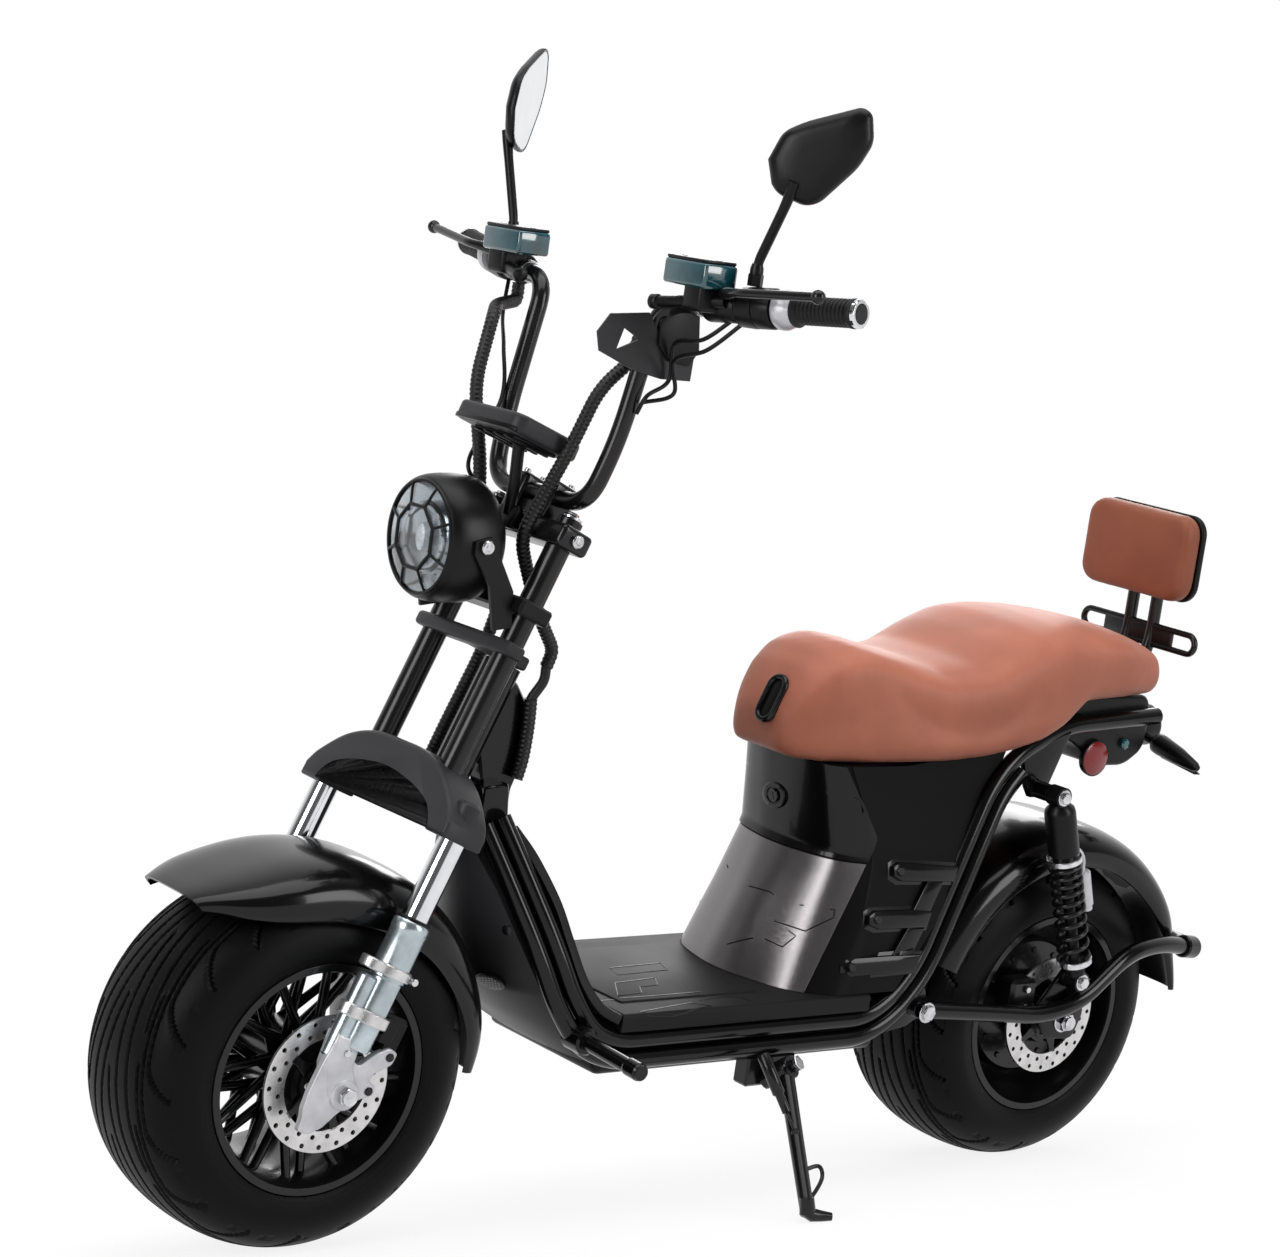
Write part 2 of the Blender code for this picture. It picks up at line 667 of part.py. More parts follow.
for name, side in SIDES:
    grip_in, grip_out = bar_point(side * GRIP_INNER), bar_point(side * GRIP_OUTER)
    core_in, core_out = bar_point(side * (GRIP_INNER - 0.02)), bar_point(side * (GRIP_OUTER + 0.02))
    grip = joined([rod(grip_in, grip_out, GRIP_RADIUS, 14)], [rod(core_in, core_out, BAR_RADIUS + GAP, 14)])
    piece(f"grip_{name}", grip, RUBBER, front)


def control(side):
    """Switch box and brake perch round the bar, reservoir on top and lever ahead of the grip."""
    near, far = bar_point(side * 0.236), bar_point(side * (GRIP_INNER - 0.002))
    housing = rod(near, far, 0.024, 12)
    low = bar_point(side * 0.150)
    perch = rod(bar_point(side * 0.190), bar_point(side * 0.240), 0.019, 12)
    neck_at = low + Vector((side * 0.052, 0, 0))
    neck = block(neck_at + Vector((-0.018, -0.030, -0.004)), neck_at + Vector((0.018, 0.008, 0.040)), 0.003)
    tank_at = low + Vector((side * 0.038, 0, 0))
    tank = block(tank_at + Vector((-0.043, -0.036, 0.026)), tank_at + Vector((0.043, 0.016, 0.056)), 0.005)
    lever = tube(
        [
            bar_point(side * 0.230, 0.012, 0.016),
            bar_point(side * 0.262, 0.014, 0.044),
            bar_point(side * 0.396, 0.014, 0.058),
        ],
        0.0062,
        0.02,
        2,
        3,
    )
    ball = rod(bar_point(side * 0.384, 0.014, 0.058), bar_point(side * 0.400, 0.014, 0.058), 0.0095, 10)
    bore = rod(bar_point(side * 0.160), bar_point(side * 0.340), BAR_RADIUS + GAP, 14)
    return joined([housing, perch, neck, tank, lever, ball], [bore])


# side, sweep of the face in degrees, its size against the outline, height of the stem's top
MIRRORS = (("left", 1, 39.5, 1.0, 1.283), ("right", -1, 50.0, 1.16, 1.296))
# The mirror's face, outwards along its sweep and up from the top of its stem: (out, up)
MIRROR_OUTLINE = [
    (-0.032, 0.038),
    (-0.016, 0.078),
    (0.008, 0.092),
    (0.070, 0.116),
    (0.082, 0.110),
    (0.088, 0.078),
    (0.074, 0.048),
    (0.036, 0.004),
    (0.020, -0.002),
    (-0.014, 0.008),
    (-0.026, 0.024),
]
MIRROR_DEPTH = 0.018


def mirror(side, degrees, size, height):
    foot = bar_point(side * 0.248, 0.0284, 0.0)
    top = Vector((side * 0.279, -0.235, height))
    turn = math.radians(degrees)
    sweep = Vector((side * math.cos(turn), math.sin(turn), 0)) * size
    back = Vector((side * math.sin(turn), -math.cos(turn), 0))
    loops = []
    for depth, shrink in ((0.0, 0.0), (0.004, 0.0), (MIRROR_DEPTH - 0.005, 0.10), (MIRROR_DEPTH, 0.32)):
        middle = (0.032, 0.056)
        loop = []
        for out, up in MIRROR_OUTLINE:
            a = out + (middle[0] - out) * shrink
            b = up + (middle[1] - up) * shrink
            loop.append(top + sweep * a + Vector((0, 0, b * size)) + back * (depth - 0.006))
        loops.append(loop)
    head = loft(loops)
    stem_path = [
        foot,
        foot + Vector((0, 0, 0.022)),
        top + Vector((side * 0.004, -0.004, 0.0)),
        top + Vector((side * 0.012, -0.004, 0.024)),
    ]
    stem = tube(stem_path, 0.0058, 0.012, 2, 3)
    nut = rod(foot - Vector((0, 0, 0.004)), foot + Vector((0, 0, 0.010)), 0.009, 6)
    return joined([head, stem, nut])


for name, side in SIDES:
    piece(f"control_{name}", control(side), SATIN_BLACK, front)
for name, side, degrees, size, height in MIRRORS:
    piece(f"mirror_{name}", mirror(side, degrees, size, height), SATIN_BLACK, front)

# Plate with a lightening hole beside the left riser: (y, z)
RISER_PLATE = [
    (-0.367, 1.109),
    (-0.351, 1.131),
    (-0.297, 1.136),
    (-0.278, 1.112),
    (-0.223, 1.108),
    (-0.225, 1.060),
    (-0.268, 1.060),
    (-0.307, 1.067),
    (-0.361, 1.087),
]
PLATE_HOLE = [(-0.338, 1.090), (-0.330, 1.116), (-0.306, 1.104)]


def riser_plate():
    x = RISER_X + BAR_RADIUS + GAP
    hole = prism(PLATE_HOLE, x - 0.01, x + 0.02)
    return joined([prism(RISER_PLATE, x, x + 0.003)], [hole])


piece("riser_plate", riser_plate(), DARK_GREY, front)

# Braided sleeves over the cables, in the fork's own frame: the left one starts beside its riser and goes on beside
# the gusset, the right one starts under its control and runs down the fork: (x, y, z)
SLEEVE_RADIUS = 0.0085
SLEEVE_LEFT = [
    (0.088, -0.112, 0.300),
    (0.0795, -0.106, 0.220),
    (0.058, -0.096, 0.160),
    (0.047, -0.0925, 0.108),
    (0.040, -0.055, 0.076),
    (0.034, -0.010, 0.040),
    (0.028, 0.038, 0.012),
    (0.026, 0.041, -0.010),
]
SLEEVE_RIGHT = [
    (-0.118, -0.156, 0.352),
    (-0.096, -0.150, 0.260),
    (-0.064, -0.110, 0.170),
    (-0.056, -0.0935, 0.125),
    (-0.052, -0.088, 0.102),
    (-0.050, -0.050, 0.074),
    (-0.050, -0.008, 0.044),
    (-0.053, 0.002, -0.020),
    (-0.058, 0.004, -0.130),
]
# Beside the gusset: (x, y, z)
SLEEVE_LOW = [
    (0.0224, -0.3150, 0.655),
    (0.0224, -0.3130, 0.620),
    (0.0224, -0.3150, 0.580),
    (0.0224, -0.3205, 0.556),
]


def sleeve(start, path):
    return tube(start + [HEAD + HEAD_TURN @ Vector(p) for p in path], SLEEVE_RADIUS, 0.03, 1, 3)


inward = Vector((BAR_RADIUS + SLEEVE_RADIUS + GAP * 2, 0, 0))
riser_low, riser_top = Vector(BAR_HALF[1]), Vector(BAR_HALF[2])
beside_riser = [riser_low.lerp(riser_top, t) - inward for t in (0.78, 0.56)]
piece("sleeve_left", sleeve(beside_riser, SLEEVE_LEFT), SATIN_BLACK, front)
under_perch = bar_point(-0.205, -0.0196)
drop = under_perch - Vector((0, 0, 0.022))
lead = drop.lerp(HEAD + HEAD_TURN @ Vector(SLEEVE_RIGHT[0]), 0.5) - Vector((0, 0.014, 0))
piece("sleeve_right", sleeve([under_perch, drop, lead], SLEEVE_RIGHT), SATIN_BLACK, front)


# Headlight and instrument

LAMP_FACE = Vector((0.0, -0.487, 0.843))
LAMP_RADIUS = 0.075
LAMP_RECESS = 0.010
bucket = turned(
    [
        (LAMP_RECESS, 0.0),
        (LAMP_RECESS, LAMP_RADIUS - 0.005),
        (0.0, LAMP_RADIUS - 0.005),
        (0.0, LAMP_RADIUS),
        (0.058, LAMP_RADIUS),
        (0.078, LAMP_RADIUS - 0.012),
        (0.092, LAMP_RADIUS - 0.034),
        (0.096, 0.0),
    ],
    "Y",
    24,
)
piece("headlight", bucket, SATIN_BLACK, front, LAMP_FACE)
lens = turned(
    [
        (-0.010, 0.0),
        (-0.006, 0.045),
        (0.001, LAMP_RADIUS - 0.0055),
        (LAMP_RECESS - GAP, LAMP_RADIUS - 0.0055),
        (LAMP_RECESS - GAP, 0.0),
    ],
    "Y",
    24,
)
piece("headlight_lens", lens, LENS, front, LAMP_FACE)


# Side view of the arms beside the lamp: (y, z)
LAMP_BRACKET = [
    (-0.462, 0.852),
    (-0.440, 0.858),
    (-0.402, 0.795),
    (-0.398, 0.752),
    (-0.424, 0.748),
    (-0.436, 0.800),
    (-0.462, 0.836),
]


def headlight_bracket():
    """A cross plate clamped to the two upper tubes, with an arm to each side of the lamp."""
    low = 0.012
    y = -FORK_OFFSET
    plate = block((-0.098, y - 0.026, low + 0.010), (0.098, y + 0.022, low + 0.030), 0.003)
    holes = [
        rod((s * UPPER_SPREAD, y, low - 0.05), (s * UPPER_SPREAD, y, low + 0.12), UPPER_RADIUS + GAP, 14)
        for _, s in SIDES
    ]
    for mesh in [plate] + holes:
        mesh.transform(Matrix.Translation(HEAD) @ HEAD_TURN.to_4x4())
    arms = []
    for _, s in SIDES:
        x0, x1 = sorted((s * (LAMP_RADIUS + 0.0008), s * (LAMP_RADIUS + 0.0058)))
        arms.append(prism(LAMP_BRACKET, x0, x1, "X"))
    return joined([plate] + arms, holes)


piece("headlight_bracket", headlight_bracket(), SATIN_BLACK, front)

DASH_TURN = Matrix.Rotation(math.radians(-20.0), 4, "X")
DASH = Vector((0.0, -0.368, 0.974))


def instrument():
    """A thin rounded pod tipped back towards the rider, on a bracket from the top clamp."""
    pod = block((-0.068, -0.052, -0.011), (0.068, 0.052, 0.013), 0.009, 2)
    pod.transform(Matrix.Translation(DASH) @ DASH_TURN)
    face = -FORK_OFFSET - 0.024 - GAP
    flat = block((-0.018, face - 0.012, TOP_CLAMP_LOW), (0.018, face, TOP_CLAMP_HIGH))
    flat.transform(Matrix.Translation(HEAD) @ HEAD_TURN.to_4x4())
    foot = HEAD + HEAD_TURN @ Vector((0, face - 0.008, TOP_CLAMP_HIGH - 0.012))
    arm = tube([foot, foot + Vector((0, 0.004, 0.040)), DASH + Vector((0, 0.004, -0.006))], 0.0075, 0.02, 2, 3)
    return joined([pod, arm, flat])


piece("instrument", instrument(), DARK_GREY, front)


# Frame

# The upper left tube's middle line: (x, y, z)
RAIL = [
    (0.036, -0.345, 0.512),
    (0.068, -0.323, 0.452),
    (0.106, -0.292, 0.371),
    (0.126, -0.268, 0.308),
    (0.135, -0.238, 0.268),
    (RAIL_SPREAD, -0.198, FLOOR_LOW - GAP - RAIL_RADIUS),
    (RAIL_SPREAD, 0.205, FLOOR_LOW - GAP - RAIL_RADIUS),
    (0.136, 0.250, 0.275),
    (0.130, 0.297, 0.322),
    (0.114, 0.374, 0.481),
    (0.106, 0.408, 0.548),
    (0.101, 0.452, 0.590),
    (0.093, 0.540, 0.628),
    (0.087, 0.735, 0.640),
]
# How many of those corners the lower tube follows
LOWER_CORNERS = 12


def beside(path, pitch):
    """A path beside another at this distance, below it along the floor and outside its bends."""
    shifted = []
    for i, (x, y, z) in enumerate(path):
        ways = []
        for one, two in zip(path[max(0, i - 1) : i + 1], path[max(0, i - 1) + 1 : i + 2]):
            ways.append(Vector((0, two[2] - one[2], one[1] - two[1])).normalized())
        middle = (ways[0] + ways[-1]).normalized()
        reach = pitch / middle.dot(ways[0])
        shifted.append((x, y + middle.y * reach, z + middle.z * reach))
    return shifted


RAIL_LOWER = beside(RAIL, RAIL_PITCH)[:LOWER_CORNERS]


def rail_tubes(side, clearance=0.0):
    radius = RAIL_RADIUS + clearance
    return [tube(both_sides(path, side), radius, 0.05, 2, 3) for path in (RAIL, RAIL_LOWER)]


def rail_cuts():
    return [mesh for _, side in SIDES for mesh in rail_tubes(side, GAP * 2)]


SHOCK_TOP = Vector((0, 0.498, 0.546))
SHOCK_LOW = REAR_AXLE + Vector((0, -0.004, 0.063))
# Side view of the plate that carries the swingarm: (y, z)
PIVOT_PLATE = [
    (0.236, 0.222),
    (0.300, 0.232),
    (0.328, 0.246),
    (0.334, 0.268),
    (0.322, 0.292),
    (0.300, 0.306),
    (0.262, 0.272),
    (0.232, 0.250),
]
# Side view of the plate from the upper tube down to the shock's bolt: (y, z)
SHOCK_PLATE = [
    (0.462, 0.592),
    (0.478, 0.548),
    (0.488, 0.534),
    (0.508, 0.534),
    (0.518, 0.548),
    (0.548, 0.624),
    (0.500, 0.610),
]
PEG = Vector((0, -0.262, 0.262))


def rail(side):
    """Two tubes side by side, joined by the swingarm plate, the shock's bracket and the foot peg's lug."""
    shapes = rail_tubes(side)
    x0, x1 = sorted((side * 0.116, side * 0.126))
    shapes.insert(1, prism(PIVOT_PLATE, x0, x1))
    x0, x1 = sorted((side * 0.097, side * 0.107))
    shapes.append(prism(SHOCK_PLATE, x0, x1))
    face = side * (SHOCK_SPREAD - EYE_HALF - GAP)
    shapes.append(rod((side * 0.099, SHOCK_TOP.y, SHOCK_TOP.z), (face, SHOCK_TOP.y, SHOCK_TOP.z), 0.012, 12))
    end = side * (SHOCK_SPREAD + EYE_HALF + 0.006)
    shapes.append(rod((face, SHOCK_TOP.y, SHOCK_TOP.z), (end, SHOCK_TOP.y, SHOCK_TOP.z), BOLT_RADIUS, 12))
    shapes.append(rod((side * 0.122, PEG.y, PEG.z), (side * 0.158, PEG.y, PEG.z), 0.017, 14))
    shapes.append(rod((side * 0.150, PEG.y, PEG.z), (side * 0.262, PEG.y, PEG.z - 0.004), 0.011, 14))
    inner, outer = Vector((side * 0.08, 0, 0)), Vector((side * 0.2, 0, 0))
    hole = rod(ARM_PIVOT + inner, ARM_PIVOT + outer, ARM_RADIUS + GAP, 12)
    return joined(shapes, [hole])


for name, side in SIDES:
    piece(f"rail_{name}", rail(side), GLOSS_BLACK, vehicle)


# Side views of the plate behind the head tube and of the block between the rails' tops: (y, z)
GUSSET = [
    (-0.366, 0.688),
    (-0.330, 0.672),
    (-0.307, 0.640),
    (-0.305, 0.606),
    (-0.310, 0.562),
    (-0.318, 0.540),
    (-0.318, 0.512),
    (-0.350, 0.500),
    (-0.376, 0.590),
    (-0.390, 0.596),
]
NECK = [(-0.372, 0.548), (-0.334, 0.552), (-0.328, 0.505), (-0.345, 0.478), (-0.374, 0.486)]


def head_tube():
    axis = HEAD_TURN @ Vector((0, 0, 1))
    low = HEAD + axis * (YOKE_TOP - 0.010 + 0.0012)
    high = HEAD + axis * (MID_CLAMP_LOW - 0.0012)
    tube_body = rod(low, high, HEAD_TUBE_RADIUS, 14)
    bore = rod(low - axis * 0.02, high + axis * 0.02, STEM_RADIUS + RUNNING, 14)
    # side view of the gusset: (y, z)
    gusset = prism(GUSSET, -0.0135, 0.0135, "X", 0.003)
    neck = prism(NECK, -NECK_HALF, NECK_HALF, "X", 0.003)
    return joined([tube_body, gusset, neck], [bore] + rail_cuts())


piece("head_tube", head_tube(), GLOSS_BLACK, vehicle)
piece("sleeve_low", tube(SLEEVE_LOW, SLEEVE_RADIUS, 0.03, 1, 3), SATIN_BLACK, vehicle)


FENDER_BACK = FRONT_AXLE.y + FRONT_FENDER_RADIUS
# height, front at the middle, front at the side, back, half width
APRON = [
    (0.478, -0.388, -0.380, -0.366, 0.030),
    (0.430, -0.378, -0.358, -0.330, 0.062),
    (0.370, FENDER_BACK - 0.021, -0.332, -0.300, 0.088),
    (0.310, FENDER_BACK - 0.003, -0.300, -0.262, 0.104),
    (0.262, FENDER_BACK + 0.051, -0.256, -0.224, 0.110),
    (0.222, -0.240, -0.228, -0.208, 0.110),
]


def apron():
    """The front shield between the lower tubes, bowed forwards, from the neck to the box."""
    sections = []
    for z, middle, edge, back, half in APRON:
        bow = middle * 0.72 + edge * 0.28
        right = [(half, back, z), (half, edge, z), (half * 0.55, bow, z)]
        sections.append(right + [(0, middle, z)] + both_sides(right[::-1], -1))
    return joined([loft(sections)], rail_cuts())


piece("apron", apron(), SATIN_BLACK, vehicle)

# half width, place and height of the rider's side of the leg shield
LEG_SHIELD = [
    (0.036, -0.314, 0.499),
    (0.062, -0.299, 0.470),
    (0.090, -0.278, 0.422),
    (0.110, -0.264, 0.376),
    (0.129, -0.251, 0.334),
    (0.142, -0.232, 0.305),
    (0.149, -0.206, FLOOR_HIGH),
]
SHIELD_WALL = 0.013


def leg_shield():
    """A curved panel behind the tubes, from the neck down to the floorboard."""
    sections = []
    for i, (half, y, z) in enumerate(LEG_SHIELD):
        one, two = LEG_SHIELD[max(0, i - 1)], LEG_SHIELD[min(len(LEG_SHIELD) - 1, i + 1)]
        ahead = Vector((0, two[2] - one[2], one[1] - two[1])).normalized()
        rider = Vector((0, y, z))
        far = rider + ahead * SHIELD_WALL
        edge, inner = Vector((half, 0, 0)), Vector((half - 0.005, 0, 0))
        halfway = (rider + far) / 2
        sections.append([rider - inner, rider + inner, halfway + edge, far + edge, far - edge, halfway - edge])
    return joined([loft(sections)], rail_cuts())


piece("leg_shield", leg_shield(), DARK_GREY, vehicle)

# Plan of the floorboard's left half: (x, y)
FLOOR_START = -0.2055
FLOOR_PLAN = [
    (FLOOR_HALF - 0.001, FLOOR_START),
    (FLOOR_HALF, -0.160),
    (FLOOR_HALF, 0.205),
    (0.112, 0.225),
    (0.112, 0.258),
]
TREAD_HALF = 0.106
TREAD_START = -0.176
TREAD_END = 0.046
floor_outline = FLOOR_PLAN + [(-x, y) for x, y in FLOOR_PLAN[::-1]]
deck = prism(floor_outline, FLOOR_LOW, FLOOR_HIGH, "Z", 0.003)
tread = block((-TREAD_HALF, TREAD_START, FLOOR_HIGH - 0.004), (TREAD_HALF, TREAD_END, TREAD_HIGH))
piece("floorboard", joined([deck, tread], rail_cuts()), DARK_GREY, vehicle)
battery = block((-BOX_HALF, -0.2075, BOX_LOW), (BOX_HALF, 0.262, FLOOR_LOW - GAP), 0.010)
piece("battery_box", battery, SATIN_BLACK, vehicle)


def body_section(z, front_y, shoulder_y, rear_y, nose_half, half):
    """One level of the seat's base: flat in front, rounded at the shoulders, square behind."""
    bow = shoulder_y - front_y
    right = [
        (nose_half * 0.7, front_y + bow * 0.06, z),
        (nose_half + (half - nose_half) * 0.55, front_y + bow * 0.34, z),
        (half * 0.97, shoulder_y - bow * 0.12, z),
        (half, shoulder_y + 0.02, z),
        (half, rear_y, z),
    ]
    return [(0.0, front_y, z)] + right + both_sides(right[::-1], -1)


# height, front, shoulder and rear along the scooter, half width of the nose, half width
BODY = [
    (FLOOR_HIGH + GAP, 0.068, 0.150, 0.250, 0.060, 0.146),
    (0.380, 0.102, 0.185, 0.318, 0.050, 0.137),
    (0.452, 0.134, 0.200, 0.352, 0.056, 0.123),
    (0.468, 0.139, 0.200, 0.360, 0.056, 0.119),
    (0.5892, 0.119, 0.168, 0.440, 0.052, 0.097),
]
base = joined([loft([body_section(*row) for row in BODY])], rail_cuts())
piece("seat_base", base, GLOSS_BLACK, vehicle)


# Seat, hinged at its nose

SEAT_UNDER = 0.5895


def seat_section(y, half, low, high, crown):
    """One cross-section of the seat: flat below, rounded on top."""
    shoulder = high - crown
    return [
        Vector((-half * 0.86, y, low)),
        Vector((-half, y, low + 0.018)),
        Vector((-half, y, shoulder - 0.012)),
        Vector((-half * 0.86, y, shoulder + crown * 0.45)),
        Vector((-half * 0.45, y, high - crown * 0.12)),
        Vector((0, y, high)),
        Vector((half * 0.45, y, high - crown * 0.12)),
        Vector((half * 0.86, y, shoulder + crown * 0.45)),
        Vector((half, y, shoulder - 0.012)),
        Vector((half, y, low + 0.018)),
        Vector((half * 0.86, y, low)),
    ]


# place along the scooter, half width, underside, top and the height of the rounded top
SEAT = [
    (0.072, 0.050, 0.604, 0.664, 0.016),
    (0.086, 0.066, 0.594, 0.692, 0.024),
    (0.108, 0.078, 0.590, 0.714, 0.030),
    (0.140, 0.088, SEAT_UNDER, 0.728, 0.034),
    (0.200, 0.104, SEAT_UNDER, 0.722, 0.034),
    (0.300, 0.136, 0.597, 0.706, 0.026),
    (0.360, 0.148, 0.602, 0.716, 0.030),
    (0.410, 0.152, 0.608, 0.742, 0.040),
    (0.460, 0.152, 0.618, 0.762, 0.044),
    (0.500, 0.148, 0.634, 0.768, 0.044),
    (0.545, 0.142, 0.668, 0.768, 0.042),
    (0.640, 0.130, 0.672, 0.760, 0.036),
    (0.700, 0.116, 0.673, 0.748, 0.030),
    (0.728, 0.092, 0.682, 0.728, 0.020),
]
seat = loft([seat_section(*row) for row in SEAT])
seat.transform(Matrix.Translation((0, -SEAT_PIVOT_Y, -SEAT_PIVOT_Z)))
piece("seat", seat, TAN_LEATHER, seat_axis)


# Backrest and tail

POST_SPREAD = 0.022
PAD_FRONT = 0.720
PAD_BACK = 0.760
PAD_LOW = 0.796
PAD_HIGH = 0.924
RACK_BACK = 0.770
POST_RADIUS = 0.0078
# Side view of each post from inside the tail up to the pad: (y, z)
POST = [(0.716, 0.627), (0.748, 0.664), (RACK_BACK, 0.740), (RACK_BACK, 0.870)]


def backrest_bracket():
    """Two posts up from the tail, a slotted bar across them and a shell behind the pad."""
    low = (-0.096, PAD_BACK + GAP, PAD_LOW + 0.002)
    high = (0.096, PAD_BACK + 0.010, PAD_HIGH - 0.002)
    shapes = [block(low, high, 0.003)]
    for _, side in SIDES:
        path = [(side * POST_SPREAD, y, z) for y, z in POST]
        shapes.append(tube(path, POST_RADIUS, 0.02, 2, 3))
    shapes.append(block((-0.106, RACK_BACK - 0.006, 0.730), (0.106, RACK_BACK, 0.756)))
    shapes.append(block((-0.034, RACK_BACK - 0.004, 0.734), (0.034, RACK_BACK + 0.010, 0.752)))
    slots = []
    for _, side in SIDES:
        x0, x1 = sorted((side * 0.048, side * 0.090))
        slots.append(block((x0, RACK_BACK - 0.02, 0.738), (x1, RACK_BACK + 0.02, 0.748)))
    return joined(shapes, slots)


piece("backrest_bracket", backrest_bracket(), BLACK_STEEL, vehicle)
pad = block((-0.100, PAD_FRONT, PAD_LOW), (0.100, PAD_BACK, PAD_HIGH), 0.014, 2)
piece("backrest_pad", pad, TAN_LEATHER, vehicle)

# Side view of the tail piece under the seat: (y, z)
TAIL = [
    (0.530, 0.655),
    (0.560, 0.6665),
    (0.728, 0.6665),
    (0.738, 0.640),
    (0.734, 0.588),
    (0.700, 0.566),
    (0.640, 0.566),
    (0.600, 0.596),
    (0.545, 0.618),
]


TAIL_HALF = RAIL[-1][0] - RAIL_RADIUS - GAP


def tail():
    shell = prism(TAIL, -TAIL_HALF, TAIL_HALF, "X", 0.004)
    holes = []
    for _, side in SIDES:
        path = [(side * POST_SPREAD, y, z) for y, z in POST[:3]]
        holes.append(tube(path, POST_RADIUS + GAP, 0.02, 2, 3))
    return joined([shell], holes)


piece("tail", tail(), SATIN_BLACK, vehicle)


LAMP_ARM = Vector((0, 0.7364, 0.612))


def tail_lamp():
    """Round lamp on an arm behind the tail, with an indicator stalk on each side."""
    drum = rod((0, 0.776, 0.610), (0, 0.818, 0.604), 0.030, 24)
    arm = rod(LAMP_ARM, (0, 0.790, 0.609), 0.014, 12)
    shapes = [drum, arm]
    for _, side in SIDES:
        shapes.append(rod((0, 0.786, 0.598), (side * 0.060, 0.786, 0.592), 0.006, 10))
        shapes.append(rod((side * 0.050, 0.786, 0.593), (side * 0.140, 0.778, 0.577), 0.015, 14, 0.006))
    return joined(shapes)


piece("tail_lamp", tail_lamp(), SATIN_BLACK, vehicle)


# Rear suspension

def around_rear_axle(radius, degrees):
    """A place (y, z) at this distance from the rear axle, this far up from straight behind it."""
    a = math.radians(degrees)
    return REAR_AXLE.y + radius * math.cos(a), REAR_AXLE.z + radius * math.sin(a)


def swingarm():
    """Two arms from the pivot back to the axle plates, and a hoop round behind the fender."""
    shapes = []
    y, z = REAR_AXLE.y, REAR_AXLE.z
    back_y, back_z = around_rear_axle(HOOP_CROWN - HOOP_SAG + GAP + ARM_RADIUS, HOOP_ANGLE)
    hoop = [
        (ARM_SPREAD, ARM_PIVOT.y, ARM_PIVOT.z),
        (ARM_SPREAD, y - 0.148, z + 0.025),
        (ARM_SPREAD, y - 0.058, z + 0.015),
        (ARM_SPREAD, y + 0.012, z + 0.029),
        (ARM_SPREAD, y + 0.097, z + 0.095),
        (ARM_SPREAD - 0.010, y + 0.172, z + 0.101),
        (FENDER_HALF + 0.0065, back_y, back_z),
    ]
    shapes.append(tube(hoop + both_sides(hoop[::-1], -1), ARM_RADIUS, 0.05, 2, 3))
    across = Vector((ARM_SPREAD, 0, 0))
    shapes.append(rod(ARM_PIVOT - across, ARM_PIVOT + across, ARM_RADIUS, 12))
    for _, side in SIDES:
        x0, x1 = sorted((side * PLATE_INNER, side * PLATE_OUTER))
        outline = [
            (y - 0.062, z + 0.030),
            (y - 0.030, z - 0.024),
            (y + 0.024, z - 0.028),
            (y + 0.040, z + 0.010),
            (SHOCK_LOW.y + 0.018, SHOCK_LOW.z + 0.004),
            (SHOCK_LOW.y, SHOCK_LOW.z + 0.016),
            (SHOCK_LOW.y - 0.018, SHOCK_LOW.z + 0.004),
        ]
        shapes.append(prism(outline, x0, x1, "X"))
        inner, outer = side * (PLATE_INNER + 0.002), side * (ARM_SPREAD + 0.002)
        shapes.append(rod((inner, y - 0.040, z + 0.022), (outer, y - 0.040, z + 0.022), 0.010, 12))
        shapes.append(rod((inner, y + 0.016, z + 0.036), (outer, y + 0.016, z + 0.036), 0.010, 12))
        face, end = side * (SHOCK_SPREAD - EYE_HALF - GAP), side * (SHOCK_SPREAD + EYE_HALF + 0.006)
        start = (inner, SHOCK_LOW.y, SHOCK_LOW.z)
        shapes.append(rod(start, (face, SHOCK_LOW.y, SHOCK_LOW.z), 0.012, 12))
        shapes.append(rod(start, (end, SHOCK_LOW.y, SHOCK_LOW.z), BOLT_RADIUS, 12))
    hole = rod((-0.2, y, z), (0.2, y, z), AXLE_RADIUS + GAP, 12)
    return joined(shapes, [hole])


piece("swingarm", swingarm(), GLOSS_BLACK, vehicle)
rear_reach = PLATE_OUTER + 0.016
piece("rear_axle", rod((-rear_reach, 0, 0), (rear_reach, 0, 0), AXLE_RADIUS, 12), STEEL, rear_wheel)


def shock(side):
    """Body, coil-over sleeve and eyes; the coil itself is a fine surface."""
    x = Vector((side * SHOCK_SPREAD, 0, 0))
    top, low = SHOCK_TOP + x, SHOCK_LOW + x
    run = low - top
    shapes = [
        rod(top, low, 0.009, 12),
        rod(top + run * 0.06, top + run * 0.34, 0.021, 14),
        rod(top + run * 0.34, top + run * 0.89, 0.024, 12),
    ]
    bores = []
    across = Vector((EYE_HALF, 0, 0))
    for eye in (top, low):
        shapes.append(rod(eye - across, eye + across, EYE_RADIUS, 14))
        bores.append(rod(eye - across * 2, eye + across * 2, BOLT_RADIUS + GAP, 12))
    return joined(shapes, bores)


for name, side in SIDES:
    piece(f"shock_{name}", shock(side), SATIN_BLACK, vehicle)


def rear_caliper():
    x = REAR_DISC_X
    y, z = REAR_AXLE.y, REAR_AXLE.z
    body = block((x - 0.014, y - 0.100, z + 0.006), (PLATE_INNER - GAP, y - 0.052, z + 0.060), 0.005)
    slot = rod((x - 0.004, y, z), (x + 0.004, y, z), DISC_RADIUS + 0.003, 28)
    return joined([body], [slot])


piece("rear_caliper", rear_caliper(), STEEL, vehicle)


# Side stand

foot = on_floor(STAND_FOOT_X, STAND_FOOT_Y)
leg_run = foot - STAND_PIVOT
leg_way = leg_run.normalized()
# The hinge is square to the leg and as near as it can be to straight across the scooter.
STAND_AXIS = (Vector((1, 0, 0)) - leg_way * leg_way.x).normalized()


